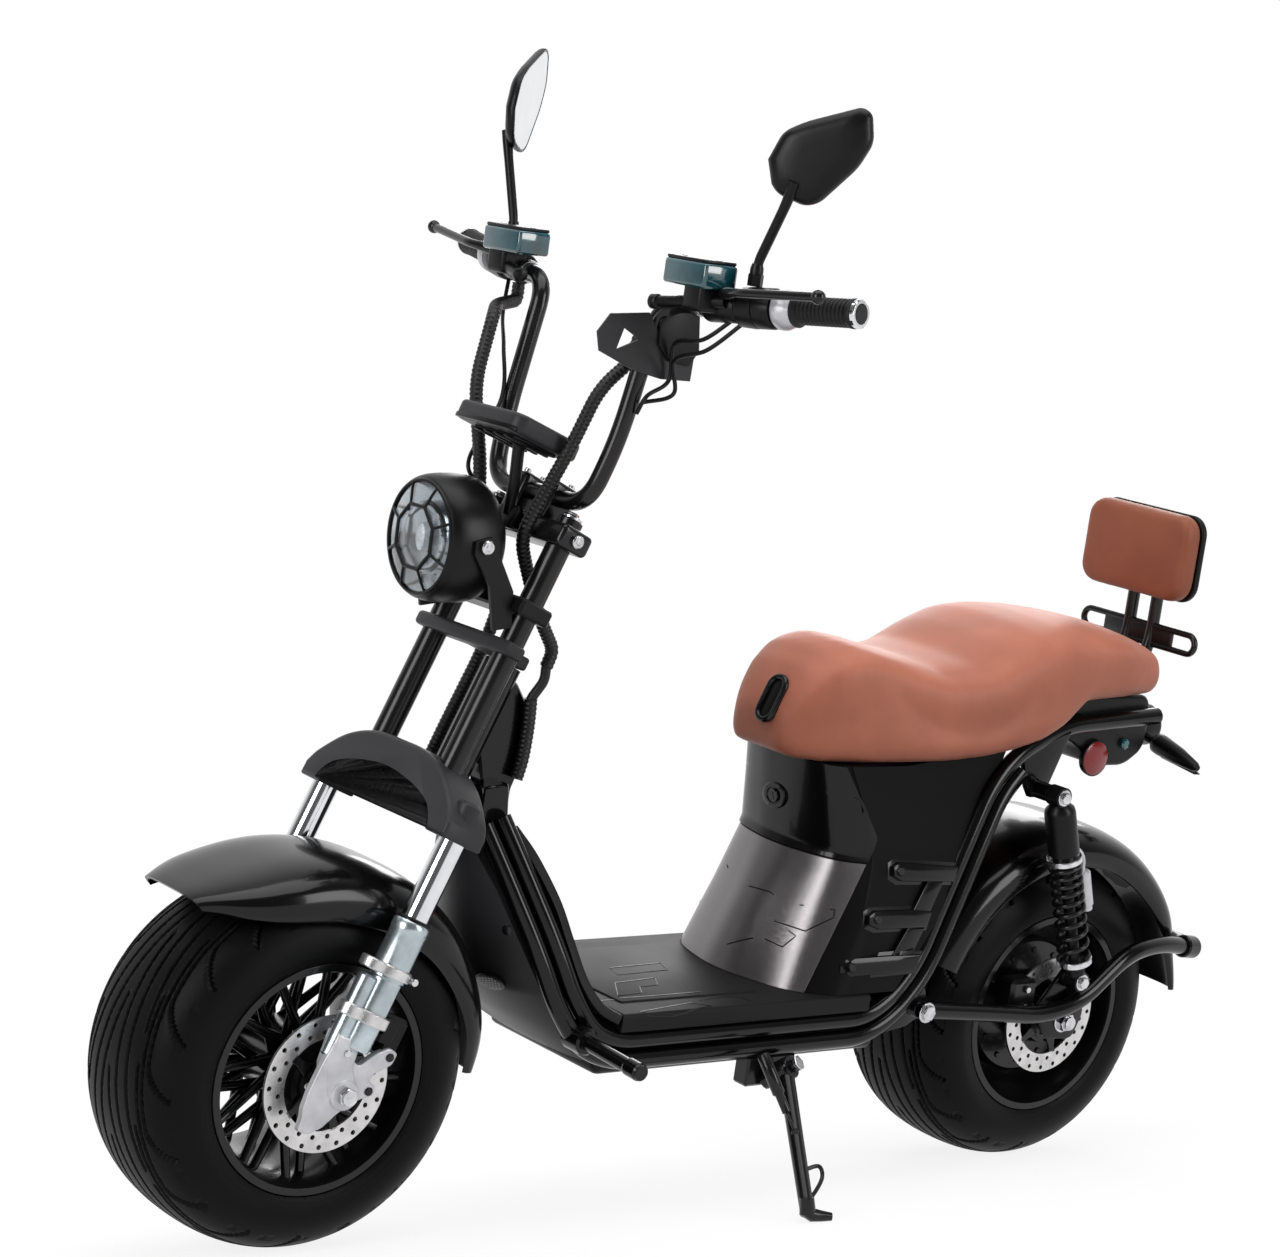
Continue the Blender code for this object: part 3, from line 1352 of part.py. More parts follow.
def side_stand():
    eye = rod(STAND_AXIS * -STAND_EYE_HALF, STAND_AXIS * STAND_EYE_HALF, STAND_EYE_RADIUS, 14)
    ankle = on_floor(STAND_FOOT_X, STAND_FOOT_Y, 0.008) - STAND_PIVOT
    leg = rod(leg_way * 0.010, ankle, STAND_LEG_RADIUS, 14)
    sole = rod(foot - STAND_PIVOT, on_floor(STAND_FOOT_X, STAND_FOOT_Y, 0.010) - STAND_PIVOT, 0.019, 12)
    hole = rod(STAND_AXIS * -0.02, STAND_AXIS * 0.02, STAND_PIN_RADIUS + RUNNING, 12)
    return joined([eye, leg, sole], [hole])


def stand_bracket():
    """A plate under the rail with the pin that the stand turns on."""
    top = RAIL_LOWER[5][2] - RAIL_RADIUS - GAP
    plate = block((BOX_HALF + GAP, 0.020, top - 0.040), (0.139, 0.100, top), 0.003)
    inner = STAND_PIVOT - STAND_AXIS * 0.034
    pin = rod(inner, STAND_PIVOT + STAND_AXIS * (STAND_EYE_HALF + 0.006), STAND_PIN_RADIUS, 12)
    collar = rod(inner, STAND_PIVOT - STAND_AXIS * (STAND_EYE_HALF + RUNNING), 0.012, 12)
    return joined([plate, pin, collar])


piece("side_stand", side_stand(), BLACK_STEEL, stand_axis)
piece("stand_bracket", stand_bracket(), BLACK_STEEL, vehicle)
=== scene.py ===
import math

import bmesh
import bpy
import numpy as np
from mathutils import Matrix, Vector
from mathutils.bvhtree import BVHTree


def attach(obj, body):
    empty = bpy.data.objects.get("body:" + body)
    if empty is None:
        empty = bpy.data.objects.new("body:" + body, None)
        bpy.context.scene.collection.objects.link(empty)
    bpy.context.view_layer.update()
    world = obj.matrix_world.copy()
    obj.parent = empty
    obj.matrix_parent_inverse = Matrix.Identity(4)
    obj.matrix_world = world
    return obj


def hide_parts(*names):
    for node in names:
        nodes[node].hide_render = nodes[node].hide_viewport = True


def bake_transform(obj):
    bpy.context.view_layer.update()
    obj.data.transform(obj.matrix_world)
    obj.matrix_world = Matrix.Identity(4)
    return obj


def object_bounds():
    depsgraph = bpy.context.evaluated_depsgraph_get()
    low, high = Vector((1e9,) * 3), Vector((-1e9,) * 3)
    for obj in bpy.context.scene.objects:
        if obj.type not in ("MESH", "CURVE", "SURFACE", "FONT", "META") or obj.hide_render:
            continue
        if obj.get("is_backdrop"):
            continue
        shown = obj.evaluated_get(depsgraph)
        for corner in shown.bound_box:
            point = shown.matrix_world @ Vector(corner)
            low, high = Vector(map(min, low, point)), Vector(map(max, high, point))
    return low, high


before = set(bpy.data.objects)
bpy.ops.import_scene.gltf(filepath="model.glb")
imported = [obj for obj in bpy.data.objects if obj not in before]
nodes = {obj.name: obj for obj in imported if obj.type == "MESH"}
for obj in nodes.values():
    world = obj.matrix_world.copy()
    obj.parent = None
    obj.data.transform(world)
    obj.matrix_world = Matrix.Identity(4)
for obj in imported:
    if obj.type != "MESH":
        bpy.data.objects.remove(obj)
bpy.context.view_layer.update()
scene = bpy.context.scene

# Stance and frames, the same as the solids have

LEAN = math.radians(12.84)
STEER_REST = math.radians(-2.5)
ORIGIN = Vector((-0.226, -0.0276, 0.00686))
RAKE = math.radians(23.0)
HEAD = Vector((0.0, -0.3357, 0.72))
FORK_OFFSET = 0.057
WHEEL_BASE = 1.196
TYRE_RADIUS = 0.221
FRONT_AXLE = Vector((0, -WHEEL_BASE / 2, TYRE_RADIUS))
REAR_AXLE = Vector((0, WHEEL_BASE / 2, TYRE_RADIUS))

VEHICLE = Matrix.Translation(ORIGIN) @ Matrix.Rotation(LEAN, 4, "Y")
HEAD_TURN = Matrix.Rotation(-RAKE, 3, "X")
FORK = VEHICLE @ Matrix.Translation(HEAD) @ Matrix.Rotation(-RAKE, 4, "X") @ Matrix.Rotation(
    STEER_REST, 4, "Z",
)
FRONT = FORK @ Matrix.Translation(HEAD_TURN.inverted() @ -HEAD) @ Matrix.Rotation(RAKE, 4, "X")
FRONT_WHEEL = FRONT @ Matrix.Translation(FRONT_AXLE)
REAR_WHEEL = VEHICLE @ Matrix.Translation(REAR_AXLE)
AXLE = HEAD_TURN.inverted() @ (FRONT_AXLE - HEAD)
SIDES = (("left", 1), ("right", -1))
IDENTITY = Matrix()

# A body and the frame in which a piece on it is drawn
ON_FRAME = ("frame", VEHICLE)
ON_STAND = ("side_stand", VEHICLE)
ON_FORK = ("steering", FORK)
ON_BAR = ("steering", FRONT)
ON_FRONT_WHEEL = ("front_wheel", FRONT_WHEEL)
ON_REAR_WHEEL = ("rear_wheel", REAR_WHEEL)
LAID_ON_FRAME = ("frame", IDENTITY)
LAID_ON_SEAT = ("seat", IDENTITY)


# Shapes: each is a list of points and a list of faces


def mm(table):
    """A table written in millimetres, in metres."""
    if isinstance(table, (int, float)):
        return table / 1000
    return type(table)(mm(item) for item in table)


def merged(*shapes):
    points, faces = [], []
    for more_points, more_faces in shapes:
        start = len(points)
        points += list(more_points)
        faces += [tuple(start + i for i in face) for face in more_faces]
    return points, faces


def moved(shape, matrix):
    return [matrix @ Vector(p) for p in shape[0]], shape[1]


def of_bmesh(bm):
    bm.verts.ensure_lookup_table()
    shape = [v.co.copy() for v in bm.verts], [tuple(v.index for v in f.verts) for f in bm.faces]
    bm.free()
    return shape


def loft(sections):
    """A skin over sections with the same number of points each."""
    count = len(sections[0])
    points = [Vector(p) for section in sections for p in section]
    faces = []
    for s in range(len(sections) - 1):
        for i in range(count):
            j = (i + 1) % count
            a, b = s * count, (s + 1) * count
            faces.append((a + i, a + j, b + j, b + i))
    faces.append(tuple(range(count))[::-1])
    faces.append(tuple(range(len(points) - count, len(points))))
    return points, faces


def axis_turn(start, end):
    """A frame whose z runs from start to end."""
    way = (end - start).normalized()
    return Matrix.Translation(start) @ way.to_track_quat("Z", "Y").to_matrix().to_4x4()


def lathe(profile, steps=48, place=Matrix(), closed=False):
    """(height, radius) pairs turned round z."""
    sections = []
    for k in range(steps):
        a = k * math.tau / steps
        sections.append([(*around(r, a), z) for z, r in profile])
    count = len(profile)
    points = [Vector(p) for section in sections for p in section]
    faces = []
    for k in range(steps):
        a, b = k * count, (k + 1) % steps * count
        for i in range(count if closed else count - 1):
            j = (i + 1) % count
            faces.append((a + i, b + i, b + j, a + j))
    return moved((points, faces), place)


def rod(start, end, radius, steps=24, end_radius=None, edge=0.0008):
    start, end = Vector(start), Vector(end)
    length = (end - start).length
    last = radius if end_radius is None else end_radius
    edge = min(edge, radius * 0.4, last * 0.4, length * 0.4)
    profile = [
        (0, 0.0), (0, radius - edge), (edge, radius), (length - edge, last), (length, last - edge),
        (length, 0.0),
    ]
    return lathe(profile, steps, axis_turn(start, end))


def pin(start, end, y, z, radius, steps=24, **more):
    """A rod across the scooter."""
    return rod((start, y, z), (end, y, z), radius, steps, **more)


def post(x, y, start, end, radius, steps=24, **more):
    """An upright rod."""
    return rod((x, y, start), (x, y, end), radius, steps, **more)


def ring(middle, way, major, minor, steps=40, round_steps=10):
    """A torus round a middle, square to way."""
    middle, way = Vector(middle), Vector(way)
    circle = [
        (minor * math.sin(k * math.tau / round_steps), major + minor * math.cos(k * math.tau / round_steps))
        for k in range(round_steps)
    ]
    return lathe(circle, steps, axis_turn(middle, middle + way), closed=True)


def block(low, high, bevel=0.002, segments=2):
    low, high = Vector(low), Vector(high)
    size = high - low
    bm = bmesh.new()
    bmesh.ops.create_cube(bm, size=1.0)
    bmesh.ops.scale(bm, vec=(abs(size.x), abs(size.y), abs(size.z)), verts=bm.verts)
    bmesh.ops.translate(bm, vec=(low + high) / 2, verts=bm.verts)
    if bevel:
        bevel = min(bevel, min(abs(c) for c in size) * 0.45)
        bmesh.ops.bevel(bm, geom=bm.edges[:], offset=bevel, segments=segments, profile=0.5, affect="EDGES")
    return of_bmesh(bm)


def prism(outline, low, high, axis="X", bevel=0.0015, segments=2):
    """A flat outline drawn out between two stations, its rims rounded."""
    spread = {
        "X": lambda p, at: (at, p[0], p[1]), "Y": lambda p, at: (p[0], at, p[1]), "Z": lambda p,
        at: (p[0], p[1], at),
    }[axis]
    bm = bmesh.new()
    one = [bm.verts.new(spread(p, low)) for p in outline]
    two = [bm.verts.new(spread(p, high)) for p in outline]
    count = len(outline)
    for i in range(count):
        j = (i + 1) % count
        bm.faces.new((one[i], one[j], two[j], two[i]))
    bm.faces.new(one[::-1])
    bm.faces.new(two)
    bmesh.ops.recalc_face_normals(bm, faces=bm.faces)
    if bevel:
        rims = [e for e in bm.edges if (e.verts[0] in one) == (e.verts[1] in one)]
        bmesh.ops.bevel(bm, geom=rims, offset=bevel, segments=segments, profile=0.5, affect="EDGES")
    return of_bmesh(bm)


def bent(points, radius, steps=8):
    """The path through these points with each corner rounded."""
    points = [Vector(p) for p in points]
    path = [points[0]]
    for before, corner, after in zip(points, points[1:], points[2:]):
        reach = min(radius, (before - corner).length * 0.48, (after - corner).length * 0.48)
        first = corner + (before - corner).normalized() * reach
        last = corner + (after - corner).normalized() * reach
        for i in range(steps + 1):
            t = i / steps
            path.append(first * (1 - t) ** 2 + corner * 2 * t * (1 - t) + last * t**2)
    return path + [points[-1]]


def curved(points, steps=8):
    """A smooth curve through every point."""
    points = [Vector(p) for p in points]
    padded = [points[0] * 2 - points[1]] + points + [points[-1] * 2 - points[-2]]
    path = []
    for a, b, c, d in zip(padded, padded[1:], padded[2:], padded[3:]):
        for i in range(steps):
            t = i / steps
            path.append(0.5 * (
                (2 * b) + (c - a) * t + (2 * a - 5 * b + 4 * c - d) * t**2 + (3 * b - a - 3 * c + d) * t**3
            ))
    return path + [points[-1]]


def sweep(path, radius, steps=16):
    """A round tube along a path; radius is a number or one for each point."""
    path = [Vector(p) for p in path]
    kept = [path[0]]
    for p in path[1:]:
        if (p - kept[-1]).length > 1e-5:
            kept.append(p)
    path = kept
    radii = radius if isinstance(radius, list) else [radius] * len(path)
    ways = []
    for i in range(len(path)):
        ways.append((path[min(i + 1, len(path) - 1)] - path[max(i - 1, 0)]).normalized())
    side = ways[0].orthogonal().normalized()
    sections = []
    for point, way, r in zip(path, ways, radii):
        side = (side - way * side.dot(way)).normalized()
        other = way.cross(side)
        loop = []
        for k in range(steps):
            a = k * math.tau / steps
            loop.append(point + (side * math.cos(a) + other * math.sin(a)) * r)
        sections.append(loop)
    return loft(sections)


def tube(points, radius, bend=0.05, steps=20, corner=8):
    return sweep(bent(points, bend, corner) if bend else points, radius, steps)


def both(points, side):
    return [(side * x, y, z) for x, y, z in points]


def around(radius, angle):
    """A place on a circle, across and up."""
    return radius * math.cos(angle), radius * math.sin(angle)


def softened(outline, radius, steps):
    """A closed flat outline with its corners rounded."""
    corners = [Vector((*p, 0)) for p in outline]
    path = bent(corners[-1:] + corners + corners[:1], radius, steps)[steps + 1 : -steps - 1]
    return [(p.x, p.y) for p in path]


def rounded_box(half_x, half_y, radius, steps, middle=(0, 0)):
    """A flat rectangle whose corners are quarter circles."""
    outline = []
    for quarter, (x, y) in enumerate(mm(((1000, 1000), (-1000, 1000), (-1000, -1000), (1000, -1000)))):
        for k in range(steps):
            dx, dy = around(radius, math.radians(quarter * 90 + k * 90 / (steps - 1)))
            outline.append((middle[0] + x * half_x + dx, middle[1] + y * half_y + dy))
    return outline


# Materials

slot_of = {}


def feed(tree, target, inputs):
    """Sets a node's inputs, each from a value or from the socket that feeds it."""
    for name, value in inputs.items():
        if isinstance(value, bpy.types.NodeSocket):
            tree.links.new(value, target.inputs[name])
        else:
            target.inputs[name].default_value = value


def node(tree, kind, inputs=None, **settings):
    made = tree.nodes.new(kind)
    for name, value in settings.items():
        setattr(made, name, value)
    feed(tree, made, inputs or {})
    return made


def surface(
    name, slot, colour, rough, metal=0.0, spec=0.5, coat=0.0, coat_rough=0.05, mottle=0.12,
    mottle_scale=30.0, grain=0.0, grain_scale=900.0, edge=0.0006, uneven=0.06, stretch=(1, 1, 1), sheen=0.0,
):
    """A Principled material whose colour, roughness and bump vary over the object."""
    made = bpy.data.materials.new(name)
    made.use_nodes = True
    slot_of[made.name] = slot
    tree = made.node_tree
    place = node(tree, "ShaderNodeTexCoord").outputs["Object"]
    spread = node(tree, "ShaderNodeMapping", {"Scale": stretch, "Vector": place}).outputs["Vector"]
    cloud = node(
        tree, "ShaderNodeTexNoise", {"Scale": mottle_scale, "Detail": 4.0, "Vector": spread},
    ).outputs["Fac"]
    ramp = node(tree, "ShaderNodeValToRGB", {"Fac": cloud})
    for element, position, change in zip(ramp.color_ramp.elements, (0.3, 0.7), (-mottle, mottle)):
        element.position = position
        element.color = (*[min(1.0, c * (1 + change)) for c in colour], 1)
    reach = {"To Min": max(0.02, rough - uneven), "To Max": rough + uneven, "Value": cloud}
    inputs = {
        "Base Color": ramp.outputs["Color"],
        "Roughness": node(tree, "ShaderNodeMapRange", reach).outputs["Result"], "Metallic": metal,
        "Specular IOR Level": spec, "Coat Weight": coat, "Coat Roughness": coat_rough,
        "Sheen Weight": sheen,
    }
    if edge:
        inputs["Normal"] = node(tree, "ShaderNodeBevel", {"Radius": edge}, samples=4).outputs["Normal"]
    if grain:
        fine = node(
            tree, "ShaderNodeTexNoise", {"Scale": grain_scale, "Detail": 3.0, "Vector": spread},
        ).outputs["Fac"]
        bump = {"Strength": grain, "Distance": 0.0005, "Height": fine}
        if edge:
            bump["Normal"] = inputs["Normal"]
        inputs["Normal"] = node(tree, "ShaderNodeBump", bump).outputs["Normal"]
    feed(tree, tree.nodes["Principled BSDF"], inputs)
    return made


def leather(name, colour):
    """Smooth upholstery leather: pebbled cells, darker creases, a soft sheen."""
    made = surface(
        name, "tan_leather", colour, 0.5, spec=0.32, mottle=0.1, mottle_scale=14.0, edge=0.0, uneven=0.05,
        sheen=0.05,
    )
    tree = made.node_tree
    place = node(tree, "ShaderNodeTexCoord").outputs["Object"]
    cells = node(
        tree, "ShaderNodeTexVoronoi", {"Scale": 520.0, "Vector": place}, feature="DISTANCE_TO_EDGE",
    )
    crease = node(tree, "ShaderNodeMapRange", {"From Max": 0.25, "Value": cells.outputs["Distance"]})
    bump = node(
        tree, "ShaderNodeBump", {"Strength": 0.1, "Distance": 0.0004, "Height": crease.outputs["Result"]},
    )
    feed(tree, tree.nodes["Principled BSDF"], {"Normal": bump.outputs["Normal"]})
    return made


def glass(name, slot, colour, rough):
    made = bpy.data.materials.new(name)
    made.use_nodes = True
    slot_of[made.name] = slot
    tree = made.node_tree
    place = node(tree, "ShaderNodeTexCoord").outputs["Object"]
    cloud = node(tree, "ShaderNodeTexNoise", {"Scale": 60.0, "Vector": place}).outputs["Fac"]
    shine = node(tree, "ShaderNodeMapRange", {"To Min": rough, "To Max": rough + 0.04, "Value": cloud})
    feed(tree, tree.nodes["Principled BSDF"], {
        "Base Color": (*colour, 1), "Transmission Weight": 1.0, "IOR": 1.45,
        "Roughness": shine.outputs["Result"],
    })
    return made


RUBBER = surface(
    "tyre_rubber", "rubber", (0.0034, 0.0034, 0.0037), 0.46, spec=0.1, mottle=0.3, mottle_scale=9.0,
    grain=0.25, grain_scale=700.0, uneven=0.1,
)
GRIP = surface(
    "grip_rubber", "rubber", (0.005, 0.005, 0.005), 0.5, spec=0.3, grain=0.4, grain_scale=900.0, uneven=0.1,
)
GLOSS = surface(
    "gloss_black_paint", "gloss_black", (0.003, 0.003, 0.0034), 0.2, spec=0.18, coat=0.22, coat_rough=0.06,
    mottle=0.2, mottle_scale=6.0, grain=0.03, grain_scale=300.0, uneven=0.04,
)
SATIN = surface(
    "satin_black", "satin_black", (0.0045, 0.0045, 0.005), 0.34, spec=0.2, mottle=0.25, mottle_scale=12.0,
    grain=0.12, grain_scale=1200.0, uneven=0.07,
)
PANEL_BLACK = surface(
    "panel_black", "gloss_black", (0.0026, 0.0026, 0.003), 0.42, spec=0.09, mottle=0.2, mottle_scale=7.0,
    grain=0.1, grain_scale=1400.0,
)
GREY = surface(
    "dark_grey_satin", "dark_grey", (0.03, 0.03, 0.033), 0.44, spec=0.25, mottle=0.2, mottle_scale=9.0,
    grain=0.12, grain_scale=1300.0,
)
# A darker copy of the grey moulding below, for the foot deck: the lower colour is painted shade that holds
# back the strong top light on the deck
DECK_WITH_PAINTED_SHADE = surface(
    "floor_moulding_painted_shade", "dark_grey", (0.0085, 0.0085, 0.009), 0.55, spec=0.16, mottle=0.2, mottle_scale=14.0,
    grain=0.15, grain_scale=420.0,
)
SHIELD = surface(
    "grey_moulding", "dark_grey", (0.016, 0.016, 0.017), 0.5, spec=0.15, mottle=0.2, mottle_scale=7.0,
    grain=0.15, grain_scale=1500.0,
)
STEEL_BLACK = surface(
    "black_steel", "black_steel", (0.006, 0.006, 0.0065), 0.24, spec=0.28, coat=0.15, mottle=0.3,
    mottle_scale=18.0, grain=0.05, grain_scale=500.0,
)
CHROME = surface(
    "chrome", "chrome", (0.72, 0.73, 0.75), 0.09, metal=1.0, mottle=0.06, mottle_scale=40.0, uneven=0.03,
)
ZINC = surface(
    "blue_grey_zinc", "zinc", (0.43, 0.49, 0.52), 0.24, metal=0.9, mottle=0.25, mottle_scale=25.0,
    grain=0.1, grain_scale=900.0,
)
LUG = surface(
    "cast_aluminium", "steel", (0.62, 0.62, 0.65), 0.38, metal=0.5, mottle=0.15, mottle_scale=40.0,
    grain=0.3, grain_scale=900.0,
)
DISC = surface(
    "disc_steel", "steel", (0.62, 0.61, 0.61), 0.28, metal=0.9, mottle=0.15, mottle_scale=60.0, grain=0.2,
    grain_scale=500.0,
)
BOLT = surface("bolt_steel", "steel", (0.6, 0.6, 0.62), 0.22, metal=1.0, mottle=0.2, mottle_scale=80.0)
SLEEVE = surface(
    "cable_sleeve", "satin_black", (0.004, 0.004, 0.004), 0.38, spec=0.35, mottle=0.3, mottle_scale=200.0,
    grain=0.5, grain_scale=1600.0,
)
BRUSHED = surface(
    "brushed_grey", "dark_grey", (0.205, 0.192, 0.197), 0.24, metal=0.85, mottle=0.07, mottle_scale=60.0,
    stretch=(10, 10, 0.25), grain=0.12, grain_scale=420.0, uneven=0.05,
)
LEATHER = leather("tan_leather", (0.46, 0.15, 0.09))
PAD_LEATHER = leather("tan_pad_leather", (0.3, 0.088, 0.046))
TEAL = surface(
    "teal_gloss", "satin_black", (0.004, 0.065, 0.085), 0.1, spec=0.6, coat=1.0, coat_rough=0.03,
    mottle=0.3, mottle_scale=50.0,
)
RED = surface(
    "red_reflector", "lens", (0.3, 0.004, 0.006), 0.2, spec=0.4, coat=0.3, mottle=0.2, mottle_scale=350.0,
    grain=0.2, grain_scale=700.0,
)
AMBER = surface(
    "smoked_lens", "lens", (0.025, 0.022, 0.02), 0.12, coat=0.7, mottle=0.3, mottle_scale=300.0, grain=0.3,
    grain_scale=600.0,
)
TINT = surface(
    "blue_green_lens", "lens", (0.02, 0.14, 0.16), 0.12, coat=0.8, mottle=0.3, mottle_scale=300.0,
)
MIRROR = surface("mirror_glass", "chrome", (0.8, 0.81, 0.83), 0.04, metal=1.0, mottle=0.03, uneven=0.01)
REFLECTOR = surface(
    "lamp_reflector", "lens", (0.42, 0.44, 0.46), 0.12, metal=1.0, mottle=0.06, grain=0.2, grain_scale=300.0,
)
SCREEN = surface("dark_screen", "satin_black", (0.006, 0.007, 0.009), 0.08, spec=0.6, coat=1.0, mottle=0.2)
BULB = surface(
    "lamp_light", "lens", (0.75, 0.78, 0.8), 0.15, spec=0.6, coat=0.8, mottle=0.25, mottle_scale=260.0,
    grain=0.3, grain_scale=500.0,
)
CLEAR = glass("clear_lens", "lens", (0.92, 0.95, 0.97), 0.03)


def smooth_tree():
    """Geometry nodes that shade smooth except across edges sharper than 35 degrees."""
    tree = bpy.data.node_groups.new("soft_edges", "GeometryNodeTree")
    for way in ("INPUT", "OUTPUT"):
        tree.interface.new_socket("Geometry", in_out=way, socket_type="NodeSocketGeometry")
    start = node(tree, "NodeGroupInput").outputs[0]
    weld = node(
        tree, "GeometryNodeMergeByDistance", {"Geometry": start, "Distance": 0.00002},
    ).outputs["Geometry"]
    faces = node(
        tree, "GeometryNodeSetShadeSmooth", {"Geometry": weld, "Shade Smooth": True}, domain="FACE",
    )
    angle = node(tree, "GeometryNodeInputMeshEdgeAngle").outputs["Unsigned Angle"]
    small = node(
        tree, "FunctionNodeCompare", {0: angle, 1: math.radians(35)}, operation="LESS_THAN",
    ).outputs[0]
    inputs = {"Geometry": faces.outputs["Geometry"], "Shade Smooth": small}
    edges = node(tree, "GeometryNodeSetShadeSmooth", inputs, domain="EDGE")
    node(tree, "NodeGroupOutput", {0: edges.outputs["Geometry"]})
    return tree


SOFT_EDGES = smooth_tree()


def dress(node, material):
    """Gives a solid that stays its material and smooth shading."""
    thing = nodes[node]
    thing.data.materials.clear()
    thing.data.materials.append(material)
    for name in ("custom_normal", "sharp_edge", "sharp_face"):
        old = thing.data.attributes.get(name)
        if old:
            thing.data.attributes.remove(old)
    thing.modifiers.new("soft_edges", "NODES").node_group = SOFT_EDGES


def mesh_object(name, shape, place=IDENTITY, weld=0.00001):
    """A mesh from a shape, its points welded and its faces turned outwards."""
    mesh = bpy.data.meshes.new(name)
    mesh.from_pydata([tuple(place @ Vector(p)) for p in shape[0]], [], shape[1])
    bm = bmesh.new()
    bm.from_mesh(mesh)
    if weld:
        bmesh.ops.remove_doubles(bm, verts=bm.verts, dist=weld)
    bmesh.ops.recalc_face_normals(bm, faces=bm.faces)
    bm.to_mesh(mesh)
    bm.free()
    made = bpy.data.objects.new(name, mesh)
    scene.collection.objects.link(made)
    return made


def add(name, shape, material, where=ON_FRAME, replaces=(), soft=35, slot=None):
    """A new piece from a shape or a list of shapes, shaded smooth up to an angle, riding on a body."""
    body, place = where
    made = mesh_object(name, merged(*shape) if isinstance(shape, list) else shape, place)
    made.data.shade_smooth()
    made.data.set_sharp_from_angle(angle=math.radians(soft))
    made.data.materials.append(material)
    slot = slot or slot_of[material.name]
    if body:
        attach(made, body)
    if replaces:
        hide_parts(*replaces)
    return made


# Tyres: a grooved tread over the solid's own profile

TYRE_HALF = [
    (0.0, TYRE_RADIUS), (0.03, TYRE_RADIUS - 0.0012), (0.055, TYRE_RADIUS - 0.0055),
    (0.075, TYRE_RADIUS - 0.0135), (0.09, TYRE_RADIUS - 0.026), (0.1, TYRE_RADIUS - 0.043),
    (0.1035, TYRE_RADIUS - 0.06), (0.1005, 0.146), (0.0975, 0.1405),
]


def tyre_shape():
    whole = [(-x, r) for x, r in reversed(TYRE_HALF[1:])] + TYRE_HALF
    path = np.array([(p.x, p.y) for p in curved([(x, r, 0) for x, r in whole], 14)])
    run = np.concatenate([[0], np.cumsum(np.hypot(*np.diff(path, axis=0).T))])
    crown = np.interp([-0.094, 0.094], path[:, 0], run)
    even = np.concatenate([
        np.linspace(0, crown[0], 18, endpoint=False), np.linspace(crown[0], crown[1], 196),
        np.linspace(crown[1], run[-1], 19)[1:],
    ])
    x = np.interp(even, run, path[:, 0])
    r = np.interp(even, run, path[:, 1])
    steps = 320
    across, along = np.meshgrid(x, np.arange(steps) * math.tau / steps)
    side = np.abs(across)
    depth = np.zeros_like(across)

    def cut(count, reach, line, width, deep, shift):
        """Grooves that drift outwards along the tread, each starting a little after the one before."""
        pitch = math.tau / count
        for k in range(int(math.ceil(reach / pitch))):
            t = ((along + np.where(across > 0, shift, shift + pitch / 2)) % pitch + k * pitch) / reach
            at, slope = line(t)
            gap = np.abs(side - at) / np.sqrt(1 + (slope / (reach * TYRE_RADIUS)) ** 2)
            groove_depth = np.clip((width - gap) / (width * 0.45), 0, 1) * deep * (t < 1)
            np.maximum(depth, groove_depth, out=depth)

    cut(8, 2.1, lambda t: (0.003 + 0.05 * t**1.15, 0.0575 * t**0.15), 0.0027, 1.1, 0.0)
    cut(17, 0.95, lambda t: (
        0.055 + 0.018 * t + 0.02 * np.clip((t - 0.8) / 0.2, 0, 1) ** 1.4, 0.018 + 0.15 * (t > 0.8),
    ), 0.0023, 1.7, 0.3)
    pitch = math.tau / 24
    off = np.abs((along + np.where(across > 0, 0.1, 0.2)) % pitch - pitch / 2)
    for spread in (0.0, 0.028):
        sipe = np.clip((0.0022 - np.abs(off - spread) * TYRE_RADIUS) / 0.0012, 0, 1)
        np.maximum(depth, 0.45 * sipe * ((side > 0.0885) & (side < 0.0935)), out=depth)
    depth *= 1.1
    radius = r[None, :] - 0.0042 * depth * (r[None, :] > 0.17)
    points = np.stack([across, radius * np.cos(along), radius * np.sin(along)], -1).reshape(-1, 3)
    count_x = len(x)
    faces = []
    for k in range(steps):
        a, b = k * count_x, (k + 1) % steps * count_x
        faces += [(a + i, a + i + 1, b + i + 1, b + i) for i in range(count_x - 1)]
    inner = lathe(mm(
        [(-97.5, 140.5), (-90.5, 140.5), (-90.5, 134), (90.5, 134), (90.5, 140.5), (97.5, 140.5)]
    ), 96, Matrix.Rotation(math.pi / 2, 4, "Y"))
    rings = []
    for s in (1, -1):
        for radius_at, x_at in ((0.152, 0.1012), (0.1465, 0.0995)):
            rings.append(ring((s * x_at, 0, 0), (s, 0, 0), radius_at, 0.0012, 96, 6))
    return merged((points, faces), inner, *rings)


add("front_tread", tyre_shape(), RUBBER, ON_FRONT_WHEEL, ["front_tyre"], 40)
add("rear_tread", tyre_shape(), RUBBER, ON_REAR_WHEEL, ["rear_tyre"], 40)


# Wheels

TURN_X = Matrix.Rotation(math.pi / 2, 4, "Y")


def rim_shape():
    half = mm([
        (90.5, 133.5), (91.2, 139.8), (93.5, 140.5), (96.5, 140), (98, 138.5), (98, 130), (90, 126.5),
        (74, 124.5), (60, 122.5), (30, 122.5),
    ])
    profile = [(-z, r) for z, r in half[::-1]] + half
    return lathe(profile, 96, TURN_X, closed=True)


